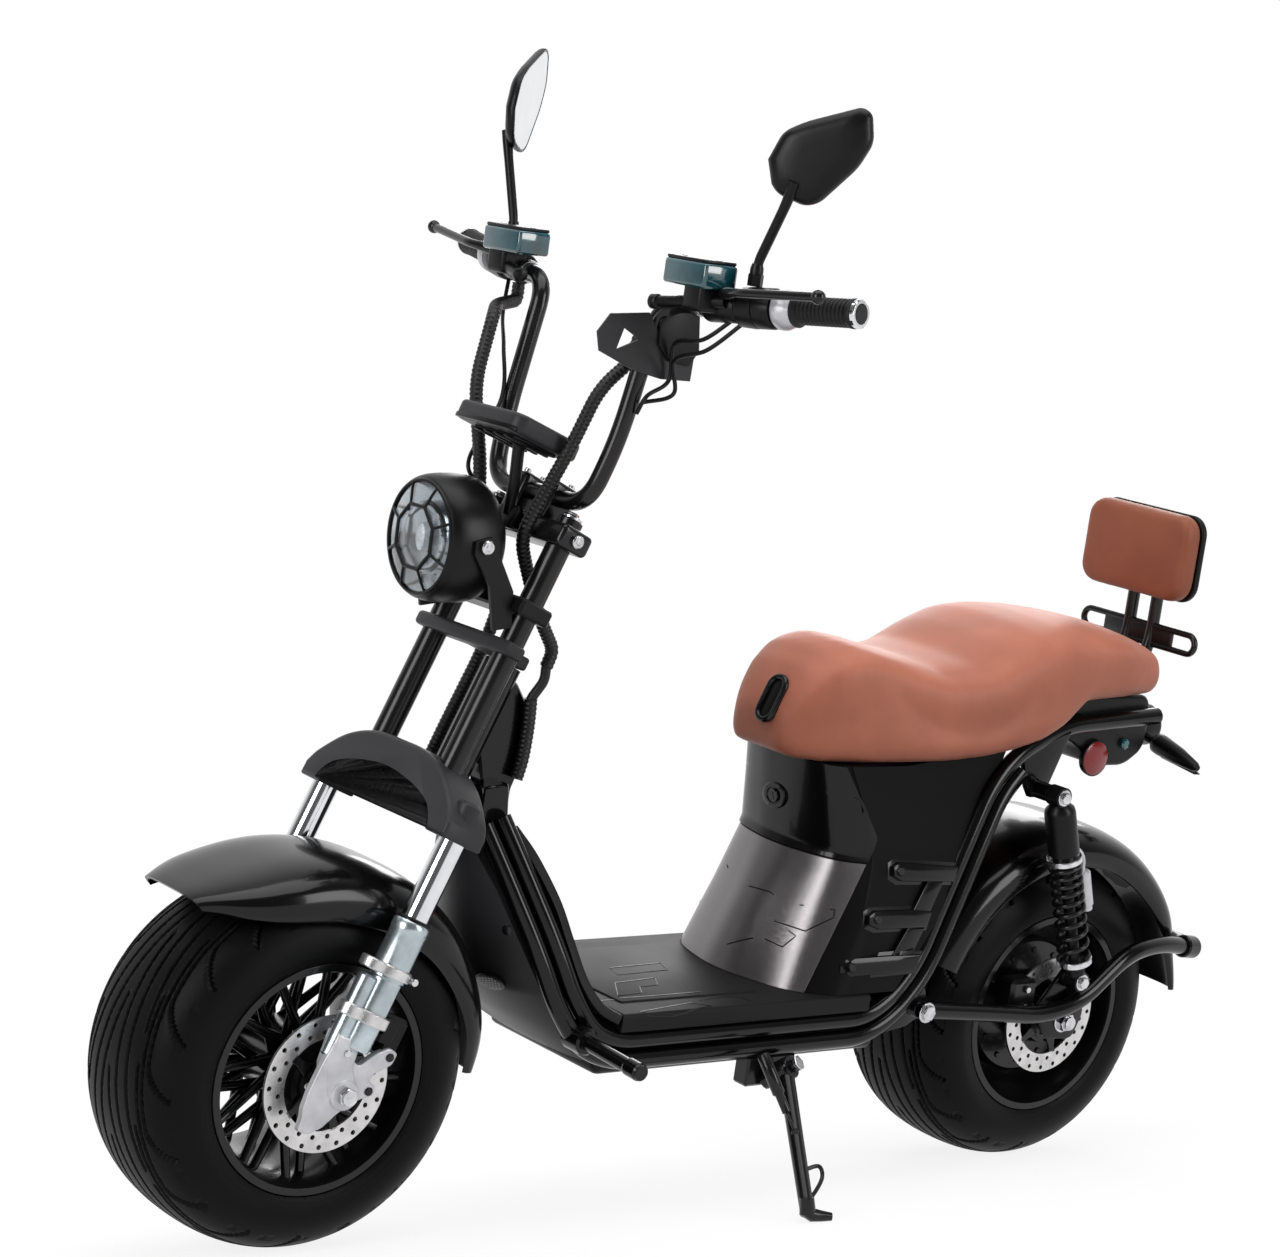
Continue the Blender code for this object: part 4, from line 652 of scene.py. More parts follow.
def front_rim_shape():
    shapes = [rim_shape()]
    shapes.append(lathe(
        mm([(-80, 9.8), (-80, 26), (-74, 30), (-52, 42), (52, 42), (74, 46), (108.5, 44), (108.5, 9.8)]),
        40, TURN_X,
    ))
    spokes = 12
    for i in range(spokes):
        for lead, x in ((-0.42, 0.058), (0.43, 0.07)):
            at = (i + lead * 0.25) * math.tau / spokes
            out = i * math.tau / spokes + lead
            start = Vector((x - 0.018, *around(0.038, at)))
            end = Vector((x, *around(0.127, out)))
            shapes.append(rod(start, end, 0.0066, 12, 0.0056))
            shapes.append(rod(
                Vector((-start.x, start.y, start.z)), Vector((-end.x, end.y, end.z)), 0.0066, 10, 0.0056,
            ))
    return merged(*shapes)


def rear_rim_shape():
    drum = mm([
        (-76, 9.8), (-76, 36), (-58, 52), (-58, 92), (-54, 96), (54, 96), (58, 92), (58, 52), (101.5, 40),
        (101.5, 9.8),
    ])
    shapes = [rim_shape(), lathe(drum, 64, TURN_X)]
    shapes.append(lathe(mm([(-12, 90), (-12, 128), (12, 128), (12, 90)]), 64, TURN_X, closed=True))
    for k in range(12):
        a = k * math.tau / 12
        shapes.append(rod((0.057, *around(0.08, a)), (0.0605, *around(0.08, a)), 0.0042, 12))
    return merged(*shapes)


def disc_mesh(name, x, where, replaced):
    """A drilled ring with a spider of five arms and its bolts."""
    half = 0.0019
    outer, inner = 0.082, 0.056
    holes = []
    for k in range(20):
        a = k * math.tau / 20
        holes.append((0.0755, a))
        holes.append((0.0635, a + math.tau / 40))
    base = lathe([(-half, inner), (-half, outer), (half, outer), (half, inner)], 120, TURN_X, closed=True)
    cutters = merged(*[
        rod((-0.01, *around(r, a)), (0.01, *around(r, a)), 0.0031, 12, edge=0.0) for r, a in holes
    ])

    plate, cut = (mesh_object("helper", part, weld=0.000001) for part in (base, cutters))
    drill = plate.modifiers.new("drill", "BOOLEAN")
    drill.operation = "DIFFERENCE"
    drill.solver = "EXACT"
    drill.object = cut
    bpy.context.view_layer.update()
    done = bpy.data.meshes.new_from_object(plate.evaluated_get(bpy.context.evaluated_depsgraph_get()))
    shape = [v.co.copy() for v in done.vertices], [tuple(p.vertices) for p in done.polygons]
    for made in (plate, cut):
        bpy.data.objects.remove(made, do_unlink=True)
    add(name, moved(shape, Matrix.Translation((x, 0, 0))), DISC, where, [replaced], 35)
    spider = [lathe([(-half, 0.01), (-half, 0.034), (half, 0.034), (half, 0.01)], 48, TURN_X, closed=True)]
    bolts = []
    for k in range(5):
        a = k * math.tau / 5
        arm = prism(mm(
            [(28, -10), (50, -4.5), (58.5, -6), (58.5, 6), (50, 4.5), (28, 10)]
        ), -half, half, "X", 0.0006, 1)
        spider.append(moved(arm, Matrix.Rotation(a, 4, "X")))
        at = a + math.pi / 5
        bolts.append(rod((half, *around(0.026, at)), (half + 0.003, *around(0.026, at)), 0.0042, 16))
    add(name + "_spider", moved(merged(*spider), Matrix.Translation((x, 0, 0))), STEEL_BLACK, where)
    add(name + "_bolts", moved(merged(*bolts), Matrix.Translation((x, 0, 0))), BOLT, where)


add("front_wheel_rim", front_rim_shape(), STEEL_BLACK, ON_FRONT_WHEEL, ["front_rim"], 40)
add("rear_wheel_rim", rear_rim_shape(), STEEL_BLACK, ON_REAR_WHEEL, ["rear_rim"], 40)
disc_mesh("front_brake_disc", 0.111, ON_FRONT_WHEEL, "front_disc")
disc_mesh("rear_brake_disc", 0.104, ON_REAR_WHEEL, "rear_disc")


# Fenders: the solids' stations drawn smooth

def fender_shape(stations):
    smooth = curved([(a / 100, c, h) for a, c, h, d in stations], 8)
    drops = curved([(a / 100, d, 0) for a, c, h, d in stations], 8)
    sections = []
    count = 18
    for one, two in zip(smooth, drops):
        angle, crown, half, drop = one.x * 100, one.y, one.z, two.y
        a = math.radians(angle)
        out = Vector((0, *around(1, a)))
        outer, inner = [], []
        for i in range(-count, count + 1):
            t = abs(i) / count * math.pi / 2
            x = math.copysign(half * math.sin(t) ** 0.62, i)
            fall = drop * (1 - max(0.0, math.cos(t)) ** 0.62)
            outer.append(Vector((x, 0, 0)) + out * (crown - fall))
            inner.append(Vector((x * (1 - 0.0035 / half), 0, 0)) + out * (crown - 0.0035 - fall))
        sections.append(outer + inner[::-1])
    return loft(sections)


FRONT_FENDER = [
    (-5.0, 0.252, 0.056, 0.018), (10.0, 0.248, 0.084, 0.032), (30.0, 0.248, 0.1, 0.048),
    (50.0, 0.252, 0.111, 0.06), (70.0, 0.255, 0.112, 0.066), (90.0, 0.254, 0.112, 0.062),
    (108.0, 0.255, 0.109, 0.05), (120.0, 0.262, 0.096, 0.036), (129.0, 0.272, 0.066, 0.018),
]
REAR_FENDER = [
    (4.0, 0.27, 0.1, 0.016), (18.0, 0.268, 0.104, 0.03), (32.0, 0.272, 0.112, 0.044),
    (50.0, 0.271, 0.112, 0.05), (74.0, 0.267, 0.112, 0.05), (98.0, 0.264, 0.112, 0.05),
    (120.0, 0.262, 0.112, 0.05), (142.0, 0.262, 0.112, 0.05), (160.0, 0.262, 0.112, 0.05),
]
add("front_mudguard", fender_shape(FRONT_FENDER), GLOSS, ("steering", FRONT_WHEEL), ["front_fender"], 50)
add("rear_mudguard", fender_shape(REAR_FENDER), GLOSS, ("frame", REAR_WHEEL), ["rear_fender"], 50)


# Twin tubes of the frame

RAIL_RADIUS = 0.0118
RAIL = mm([
    (36, -345, 512), (68, -323, 452), (106, -292, 371), (126, -268, 308), (135, -238, 268),
    (137.5, -198, 253.7), (137.5, 205, 253.7), (136, 250, 275), (130, 297, 322), (114, 374, 481),
    (106, 408, 548), (101, 452, 590), (93, 540, 628), (87, 735, 640),
])


def beside(path, pitch):
    shifted = []
    for i, (x, y, z) in enumerate(path):
        ways = []
        for one, two in zip(path[max(0, i - 1) : i + 1], path[max(0, i - 1) + 1 : i + 2]):
            ways.append(Vector((0, two[2] - one[2], one[1] - two[1])).normalized())
        middle = (ways[0] + ways[-1]).normalized()
        reach = pitch / middle.dot(ways[0])
        shifted.append((x, y + middle.y * reach, z + middle.z * reach))
    return shifted


RAIL_LOWER = beside(RAIL, 0.0255)[:12]
PIVOT_PLATE = mm([
    (236, 222), (300, 232), (328, 246), (334, 268), (322, 292), (300, 306), (262, 272), (232, 250),
])
SHOCK_PLATE = mm([(462, 592), (478, 548), (488, 534), (508, 534), (518, 548), (548, 624), (500, 610)])
SHOCK_TOP = (0.498, 0.546)
SHOCK_LOW = (0.594, 0.284)
ARM_PIVOT = (0.307, 0.26)

for name, side in SIDES:
    shapes = [tube(both(path, side), RAIL_RADIUS, 0.05, 24, 10) for path in (RAIL, RAIL_LOWER)]
    for outline, near, far in ((PIVOT_PLATE, 0.116, 0.126), (SHOCK_PLATE, 0.097, 0.107)):
        shapes.append(prism(outline, *sorted((side * near, side * far))))
    shapes.append(pin(side * 0.099, side * 0.1347, *SHOCK_TOP, 0.012, 28))
    shapes.append(pin(side * 0.122, side * 0.158, -0.262, 0.262, 0.017, 32, edge=0.003))
    peg = [(side * (0.15 + 0.112 * t), -0.262, 0.262 - 0.004 * t) for t in np.linspace(0, 1, 57)]
    shapes.append(sweep(peg, [0.0096 if k < 44 else 0.0112 - 0.0016 * (k > 54) for k in range(57)], 28))
    add(f"frame_tubes_{name}", shapes, GLOSS, replaces=[f"rail_{name}"], soft=40)


# Small things that lie on the surface of a piece


def laid(thing, points, lift=0.0):
    """World points and normals on a piece, nearest to places in the scooter's frame."""
    tree = BVHTree.FromObject(thing, bpy.context.evaluated_depsgraph_get())
    found = []
    for point in points:
        place, normal, _, _ = tree.find_nearest(VEHICLE @ Vector(point))
        found.append((place + normal * lift, normal))
    return found


def dense(points, step=0.005):
    """A polyline with more points along it."""
    points = [Vector(p) for p in points]
    out = [points[0]]
    for a, b in zip(points, points[1:]):
        count = max(1, int((b - a).length / step))
        out += [a.lerp(b, i / count) for i in range(1, count + 1)]
    return out


def groove(name, thing, lines, material, radius):
    """Fine lines pressed into a piece."""
    shapes = [sweep([p for p, _ in laid(thing, dense(line), -radius * 0.2)], radius, 6) for line in lines]
    return add(name, shapes, material, LAID_ON_FRAME)


def plate_on(name, thing, outline, thick, material, bevel, grow=0.0):
    """A flat plate of this outline, lying on a piece."""
    spots = laid(thing, outline)
    middle = sum((p for p, _ in spots), Vector()) / len(spots)
    normal = sum((n for _, n in spots), Vector()).normalized()
    frame_at = Matrix.Translation(middle) @ normal.to_track_quat("Z", "Y").to_matrix().to_4x4()
    plan = []
    for point in outline:
        local = frame_at.inverted() @ (VEHICLE @ Vector(point))
        plan.append((local.x + math.copysign(grow, local.x), local.y + math.copysign(grow, local.y)))
    return add(name, moved(prism(plan, -0.001, thick, "Z", bevel), frame_at), material, LAID_ON_FRAME)


def knob_on(thing, point, radius, height):
    """A round head standing on a piece."""
    (place, normal), = laid(thing, [point])
    edge = height * 0.4
    profile = [
        (-0.002, 0.0), (-0.002, radius), (height - edge, radius), (height - edge * 0.3, radius * 0.92),
        (height, radius * 0.75), (height, 0.0),
    ]
    return lathe(profile, 24, axis_turn(place, place + normal))


# Soft pads, swelled as cloth


def padded_piece(name, shape, material, body, node, voxel, cap, fixed, pressure=4.0, calming=40):
    """A cushion: the shape remeshed, blown up as cloth with its base held, then smoothed."""
    made = mesh_object(name, shape, VEHICLE, weld=0)
    bpy.context.view_layer.objects.active = made
    made.select_set(True)
    remesh = made.modifiers.new("even", "REMESH")
    remesh.mode = "VOXEL"
    remesh.voxel_size = voxel
    calm = made.modifiers.new("calm", "SMOOTH")
    calm.factor = 0.5
    calm.iterations = 8
    for modifier in ("even", "calm"):
        bpy.ops.object.modifier_apply(modifier=modifier)
    back = VEHICLE.inverted()
    before = [v.co.copy() for v in made.data.vertices]
    held = [v.index for v in made.data.vertices if fixed(back @ v.co)]
    group = made.vertex_groups.new(name="held")
    group.add(held, 1.0, "REPLACE")
    cloth = made.modifiers.new("swell", "CLOTH")
    settings = cloth.settings
    for setting, value in {
        "quality": 5, "mass": 0.3, "tension_stiffness": 12, "compression_stiffness": 12,
        "shear_stiffness": 6, "bending_stiffness": 2.0, "use_pressure": True,
        "uniform_pressure_force": pressure, "vertex_group_mass": "held",
    }.items():
        setattr(settings, setting, value)
    settings.effector_weights.gravity = 0.0
    cloth.point_cache.frame_start = 1
    cloth.point_cache.frame_end = 20
    for step in range(1, 21):
        scene.frame_set(step)
    bpy.context.view_layer.update()
    swelled = made.evaluated_get(bpy.context.evaluated_depsgraph_get()).data
    after = [v.co.copy() for v in swelled.vertices]
    made.modifiers.clear()
    scene.frame_set(1)
    moves = np.array([tuple(b - a) for a, b in zip(before, after)])
    ends = np.array([tuple(edge.vertices) for edge in made.data.edges])
    count = np.bincount(ends.ravel(), minlength=len(moves))[:, None]
    for _ in range(calming):
        total = np.zeros_like(moves)
        np.add.at(total, ends[:, 0], moves[ends[:, 1]])
        np.add.at(total, ends[:, 1], moves[ends[:, 0]])
        moves = total / count
    size = np.linalg.norm(moves, axis=1)[:, None]
    moves *= np.minimum(1, cap / np.maximum(size, 1e-9))
    for v, a, step in zip(made.data.vertices, before, moves):
        v.co = a + Vector(step)
    made.vertex_groups.clear()
    calm = made.modifiers.new("calm", "SMOOTH")
    calm.factor = 0.5
    calm.iterations = 6
    bpy.ops.object.modifier_apply(modifier="calm")
    fine = made.modifiers.new("fine", "SUBSURF")
    fine.levels = fine.render_levels = 1
    bpy.ops.object.modifier_apply(modifier="fine")
    made.select_set(False)
    made.data.shade_smooth()
    made.data.materials.clear()
    made.data.materials.append(material)
    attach(made, body)
    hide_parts(node)
    return made


# Saddle: places along it, each with half width, underside, top and height of the rounded top
SEAT = mm([
    (72, 50, 592, 642, 16), (86, 66, 584, 672, 22), (108, 78, 580.8, 702, 26), (140, 90, 580.5, 724, 27),
    (170, 98, 580.5, 731, 26), (200, 106, 580.8, 727, 25), (300, 136, 588, 706, 21),
    (360, 148, 595, 716, 24), (410, 152, 604.5, 742, 32), (460, 152, 617, 762, 36),
    (500, 148, 634, 768, 36), (545, 142, 668, 768, 36), (640, 130, 672, 760, 32), (700, 116, 673, 748, 28),
    (728, 92, 682, 728, 20),
])


def seat_shape(inset):
    table = np.array(SEAT)
    stations = np.linspace(SEAT[0][0], SEAT[-1][0], 90)
    sections = []
    for y in stations:
        half, low, high, crown = (np.interp(y, table[:, 0], table[:, k]) for k in range(1, 5))
        half, high = half - inset, high - inset
        shoulder = high - crown
        right = [
            (half * 0.5, low), (half * 0.86, low), (half, low + 0.016), (half, (low + shoulder) / 2),
            (half, shoulder - 0.01), (half * 0.91, shoulder + crown * 0.5),
            (half * 0.5, high - crown * 0.1),
        ]
        ring_points = [(0, low)] + right + [(0, high)] + [(-x, z) for x, z in right[::-1]]
        loop = curved([(x, y, z) for x, z in ring_points] + [(0, y, low)], 5)[:-1]
        sections.append(loop)
    return loft(sections)


seat = padded_piece(
    "seat_leather", seat_shape(0.005), LEATHER, "seat", "seat", 0.0062, 0.007,
    lambda p: p.z < 0.592 + max(0.0, (p.y - 0.3)) * 0.36,
)

pad_outline = rounded_box(0.07, 0.034, 0.027, 9, (0, 0.86))
padded_piece(
    "backrest_cushion", prism(pad_outline, 0.726, 0.7585, "Y", 0.01, 4), PAD_LEATHER, "frame",
    "backrest_pad", 0.004, 0.007, lambda p: p.y > 0.753,
)
board = [(x * 1.005, 0.86 + (z - 0.86) * 1.005) for x, z in pad_outline]
add("backrest_board", prism(board, 0.757, 0.766, "Y", 0.003, 3), SATIN)


# Base of the seat

BODY = mm([
    (290.3, 68, 150, 250, 60, 146), (335, 84, 168, 284, 55, 141.5), (380, 102, 185, 318, 50, 137),
    (452, 134, 200, 352, 56, 123), (468, 139, 200, 360, 56, 119), (530, 130, 184, 400, 54, 108),
    (589.2, 119, 168, 440, 52, 97),
])
BODY_TABLE = np.array(BODY)


def body_half(z, grow=0.0):
    """The left half of the base's outline at a height, from the middle of its front to its back corner."""
    front, shoulder, rear, nose, half = (
        float(np.interp(z, BODY_TABLE[:, 0], BODY_TABLE[:, k])) for k in range(1, 6)
    )
    bow = shoulder - front
    corners = [
        (-nose * 0.7, front + bow * 0.06, z), (0.0, front, z), (nose * 0.7, front + bow * 0.06, z),
        (nose + (half - nose) * 0.55, front + bow * 0.34, z), (half * 0.97, shoulder - bow * 0.12, z),
        (half, shoulder + 0.02, z), (half, rear, z),
    ]
    line = curved(corners, 14)[14:]
    if not grow:
        return line
    out = []
    for i, p in enumerate(line):
        one, two = line[max(0, i - 1)], line[min(len(line) - 1, i + 1)]
        way = two - one
        normal = Vector((way.y, -way.x, 0)).normalized()
        if i == 0:
            normal = Vector((0, -1, 0))
        out.append(p + normal * grow)
    return out


LEVELS = [0.2903 + (0.5892 - 0.2903) * k / 44 for k in range(45)]
sections = []
for z in LEVELS:
    line = body_half(z)
    sections.append(line + [Vector((-p.x, p.y, p.z)) for p in line[:0:-1]])
tower_points, tower_faces = loft(sections)
tower = []
for x, y, z in tower_points:
    rim = float(np.interp(y, [0.26, 0.36, 0.41, 0.445], [0.5797, 0.5915, 0.601, 0.6075]))
    tower.append((x, y, z + (rim - 0.5892) * max(0.0, (z - 0.545) / 0.0442)))
base = add("seat_tower", (tower, tower_faces), PANEL_BLACK, replaces=["seat_base"], soft=40)


# Height and place along the scooter where the front panels end
SEAM = mm([
    (290.6, 110), (456, 190), (472.8, 196.5), (489.5, 203.5), (519, 186.5), (532.8, 178.5), (579, 153),
])


def seam_cut(z, grow):
    """The part of the outline in front of the panels' seam."""
    limit = float(np.interp(z, [a for a, _ in SEAM], [b for _, b in SEAM]))
    kept = []
    for p in body_half(z, grow):
        if p.y > limit and kept:
            kept.append(kept[-1].lerp(p, (limit - kept[-1].y) / max(1e-6, p.y - kept[-1].y)))
            break
        kept.append(p)
    return kept


def even_points(line, count):
    runs = [0.0]
    for a, b in zip(line, line[1:]):
        runs.append(runs[-1] + (b - a).length)
    out = []
    for k in range(count):
        at = runs[-1] * k / (count - 1)
        i = max(0, min(
            len(line) - 2, next((j for j in range(len(runs) - 1) if runs[j + 1] >= at), len(line) - 2),
        ))
        t = (at - runs[i]) / max(1e-9, runs[i + 1] - runs[i])
        out.append(line[i].lerp(line[i + 1], t))
    return out


def skin(name, low, high, thick, material, steps=26, count=34):
    """A panel over the front of the base between two heights, ending at the seam on both sides."""
    outer, inner = [], []
    for k in range(steps + 1):
        t = k / steps
        z = low + (high - low) * t
        half = even_points(seam_cut(z, thick), count)
        line = [Vector((-p.x, p.y, p.z)) for p in half[:0:-1]] + half
        half = even_points(seam_cut(z, -0.002), count)
        under = [Vector((-p.x, p.y, p.z)) for p in half[:0:-1]] + half
        outer.append(line + under[::-1])
    return add(name, loft(outer), material, soft=40)


panel = skin("front_panel", 0.2906, 0.456, 0.0018, BRUSHED)
neck = skin("neck_panel", 0.459, 0.579, 0.0042, GLOSS)
groove("panel_lines", panel, mm([
    [(78, 124, 393), (115, 151, 396), (117, 149, 386), (98, 121, 364), (55, 105, 366)],
    [(-5, 107, 396), (32, 112, 398), (39, 113, 396)],
    [(54, 95, 342), (81, 102, 339), (91, 113, 356), (78, 110, 360)], [(3, 77, 321), (38, 89, 339)],
    [(-75, 127, 404), (-69, 124, 402)],
]), SATIN, 0.001)
(lock_at, lock_out), = laid(neck, [(-0.0039, 0.1276, 0.5179)])
lock_turn = axis_turn(lock_at, lock_at + lock_out)
lock_rim = lathe(mm([(-2, 0), (-2, 17.5), (1, 17.5), (2.2, 16), (2.2, 11), (0.8, 10.3), (0.8, 0)]), 40)
lock_core = lathe(mm([(0, 0), (0, 9), (3.4, 9), (4, 8.3), (4, 0)]), 32)
key_slit = block((-0.0009, -0.005, 0.0036), (0.0009, 0.005, 0.0048), 0.0002, 1)
add("key_lock_ring", moved(
    moved(lock_rim, Matrix.Diagonal((1.4, 1, 1, 1))), lock_turn,
), GLOSS, LAID_ON_FRAME)
add("key_lock_core", moved(merged(lock_core, key_slit), lock_turn), STEEL_BLACK, LAID_ON_FRAME)

# Three slanted slots in each side, each with a bolt, and two bars that join them
SLOTS = mm([
    ([
        (122.5, 230, 453), (121.5, 240, 458), (124, 347, 449), (128, 339, 429), (127, 244, 433.5),
        (125, 230, 440.5),
    ], (124, 240, 446.5)),
    ([
        (132, 188, 392), (131, 199, 398), (135.5, 269, 397), (138, 300, 394), (141, 292, 373),
        (136, 207, 373.5), (134, 188, 380.5),
    ], (135.5, 201.5, 387)),
    ([
        (137, 152.5, 329), (139, 161.5, 337), (141.5, 235, 339.5), (141.5, 280, 339), (143, 269, 318.5),
        (142, 170.5, 313), (138.5, 153.5, 317.5),
    ], (142, 164, 327)),
])
JOINS = mm([
    [(127, 293, 432), (127, 322.5, 430.5), (135, 298, 391.5), (135, 265, 393)],
    [(138, 259, 374), (138, 290, 372.5), (142, 266, 330), (142, 230, 332)],
])
for side_name, side in SIDES:
    def on_side(points):
        return [(side * x, y, z) for x, y, z in points][::side]

    for number, (outline, bolt) in enumerate(SLOTS):
        outline = on_side(outline)
        plate_on(f"slot_recess_{number}_{side_name}", base, outline, 0.0006, STEEL_BLACK, 0.0002, 0.0045)
        plate_on(f"slot_bar_{number}_{side_name}", base, outline, 0.0085, GLOSS, 0.003)
        add(
            f"slot_bolt_{number}_{side_name}", knob_on(base, on_side([bolt])[0], 0.0062, 0.012),
            STEEL_BLACK, LAID_ON_FRAME,
        )
    for number, outline in enumerate(JOINS):
        plate_on(f"slot_join_{number}_{side_name}", base, on_side(outline), 0.0064, GLOSS, 0.0022)

# Badge place on the seat's nose, left bare
(nose, out), = laid(seat, [(0.0153, 0.0792, 0.6522)])
badge_turn = axis_turn(nose, nose + out)
up_local = badge_turn.inverted().to_3x3() @ (VEHICLE.to_3x3() @ Vector((0, 0, 1)))
badge_turn = badge_turn @ Matrix.Rotation(math.atan2(up_local.y, up_local.x) - math.pi / 2, 4, "Z")
oval = []
for cz, start in ((0.0165, 0), (-0.0165, 180)):
    for k in range(13):
        a = math.radians(start + k * 15)
        oval.append((0.0135 * math.cos(a), cz + 0.0135 * math.sin(a)))
rim = sweep([(x, y, 0.0006) for x, y in oval + oval[:2]], 0.0042, 16)
add("badge_rim", moved(rim, badge_turn), GLOSS, LAID_ON_SEAT, soft=60)
add("badge_field", moved(
    prism([(x * 0.92, y * 0.95) for x, y in oval], -0.008, 0.0006, "Z", 0.0006, 2), badge_turn,
), SATIN, LAID_ON_SEAT)


# Floor, leg shield, apron and box

plan = mm([(149, -205.5), (150, -160), (150, 205), (112, 225), (112, 258)])
floor_shape = prism(plan + [(-x, y) for x, y in plan[::-1]], 0.266, 0.29, "Z", 0.005, 4)
tread = block((-0.106, -0.176, 0.286), (0.106, 0.046, 0.292), 0.002, 3)
# The deck takes the darker copy of the moulding, whose colour holds painted shade
deck = add("foot_deck", [floor_shape, tread], DECK_WITH_PAINTED_SHADE, replaces=["floorboard"], soft=35)
groove("deck_lines", deck, mm([
    [(-20, -95, 292), (-25, -8, 292), (4, -18, 292), (8.5, -104, 292), (-20, -95, 292)],
    [
        (37, -132, 292), (30, -61, 292), (57, -78, 292), (59, -109, 292), (81, -123, 292),
        (85, -164.5, 292), (37, -132, 292),
    ],
    [(92, -198, 290), (95, -137, 292), (94.5, -39.5, 292)],
    [
        (142, -175, 290), (125.5, -81, 290), (143, -59.5, 290), (150, -129, 284), (150, -164, 286.5),
        (142, -175, 290),
    ],
    [(118, -58.5, 290), (114, 2.5, 290), (145.5, 12.5, 290)],
]), STEEL_BLACK, 0.0009)

SHIELD_ROWS = mm([
    (36, -314, 499), (62, -299, 470), (90, -278, 422), (110, -264, 376), (129, -251, 334), (142, -232, 305),
    (149, -206, 290),
])
smooth_rows = curved(SHIELD_ROWS, 8)
sections = []
for i, row in enumerate(smooth_rows):
    one, two = smooth_rows[max(0, i - 1)], smooth_rows[min(len(smooth_rows) - 1, i + 1)]
    ahead = Vector((0, two.z - one.z, one.y - two.y)).normalized()
    rider = Vector((0, row.y, row.z))
    loop = []
    half = row.x
    for x, d in (
        (-half + 0.006, 0.0), (-half * 0.5, 0.0022), (0, 0.003), (half * 0.5, 0.0022), (half - 0.006, 0.0),
        (half - 0.0015, 0.0015), (half, 0.005), (half, 0.013), (-half, 0.013), (-half, 0.005),
        (-half + 0.0015, 0.0015),
    ):
        loop.append(rider + ahead * d + Vector((x, 0, 0)))
    sections.append(loop)
add("leg_panel", loft(sections), SHIELD, replaces=["leg_shield"], soft=40)

APRON = mm([
    (478, -388, -380, -366, 30), (430, -378, -358, -330, 62), (370, -364, -332, -300, 88),
    (310, -346, -300, -262, 104), (262, -292, -256, -224, 110), (222, -240, -228, -208, 110),
])
table = np.array(APRON)[::-1]
sections = []
for z in np.linspace(0.222, 0.478, 33):
    middle, edge, back_y, half = (float(np.interp(z, table[:, 0], table[:, k])) for k in range(1, 5))
    right = []
    for k in range(13):
        a = k / 12
        right.append((half * a, middle + (edge - middle) * a**2.2, z))
    right.append((half, back_y, z))
    sections.append([Vector(p) for p in right] + [Vector((-p[0], p[1], p[2])) for p in right[:0:-1]])
apron = add("front_apron", loft(sections), GREY, replaces=["apron"], soft=40, slot="satin_black")
(at, out), = laid(apron, [(0.0475, -0.337, 0.3094)])
turn = axis_turn(at, at + out)
holes = []
for i in range(-4, 5):
    for j in range(-3, 4):
        x, y = i * 0.0052 + (j % 2) * 0.0026, j * 0.0045
        if (x / 0.021) ** 2 + (y / 0.0135) ** 2 < 0.85:
            holes.append(post(x, y, -0.002, 0.001, 0.0017, 8, edge=0.0))
rim = [(0.023 * math.cos(k * math.tau / 32), 0.0155 * math.sin(k * math.tau / 32)) for k in range(32)]
add("horn_grille", moved(prism(rim, -0.002, 0.0009, "Z", 0.0008, 2), turn), SATIN, LAID_ON_FRAME)
add("horn_holes", moved(merged(*holes), turn), STEEL_BLACK, LAID_ON_FRAME)
(at, out), = laid(apron, [(0.0745, -0.3434, 0.3829)])
add("apron_plug", moved(
    lathe(mm([(-2, 0), (-2, 6.5), (0.6, 6.5), (1, 5.8), (1, 0)]), 24), axis_turn(at, at + out),
), STEEL_BLACK, LAID_ON_FRAME)
box_shape = block((-0.112, -0.2075, 0.2), (0.112, 0.262, 0.2657), 0.01, 4)
ribs = [block((-0.1128, -0.19, z), (0.1128, 0.25, z + 0.003), 0.0008, 1) for z in (0.225, 0.243)]
add("battery_case", [box_shape, *ribs], SATIN, replaces=["battery_box"], soft=40)


# Fork

depth = (-FORK_OFFSET - 0.031, -FORK_OFFSET + 0.031)
half_arch = mm([(0, -164.5), (55, -166.5), (105, -182), (145, -212), (160.5, -232)])
top_line = curved([(-x, z, 0) for x, z in half_arch[:0:-1]] + [(x, z, 0) for x, z in half_arch], 8)
under = mm([(0, -207.5), (60, -214.5), (98, -226), (114.5, -240), (119, -250)])
under_line = curved([(x, z, 0) for x, z in under[::-1]] + [(-x, z, 0) for x, z in under[1:]], 8)
outline = [(p.x, p.y) for p in top_line] + [(0.161, -0.25)] + [
    (p.x, p.y) for p in under_line
] + [(-0.161, -0.25)]
yoke = [prism(outline, depth[0], depth[1], "Y", 0.007, 4)]
yoke.append(block((-0.026, -FORK_OFFSET, -0.21), (0.026, 0.026, -0.176), 0.004, 3))
yoke.append(post(0, 0, -0.196, -0.0285, 0.0135, 28))
add("fork_arch", yoke, GREY, ON_FORK, ["fork_yoke"], 40)
caps = []
for _, side in SIDES:
    caps.append(post(side * 0.141, -FORK_OFFSET, -0.23, -0.2005, 0.015, 36, edge=0.004))
add("fork_caps", caps, GREY, ON_FORK)
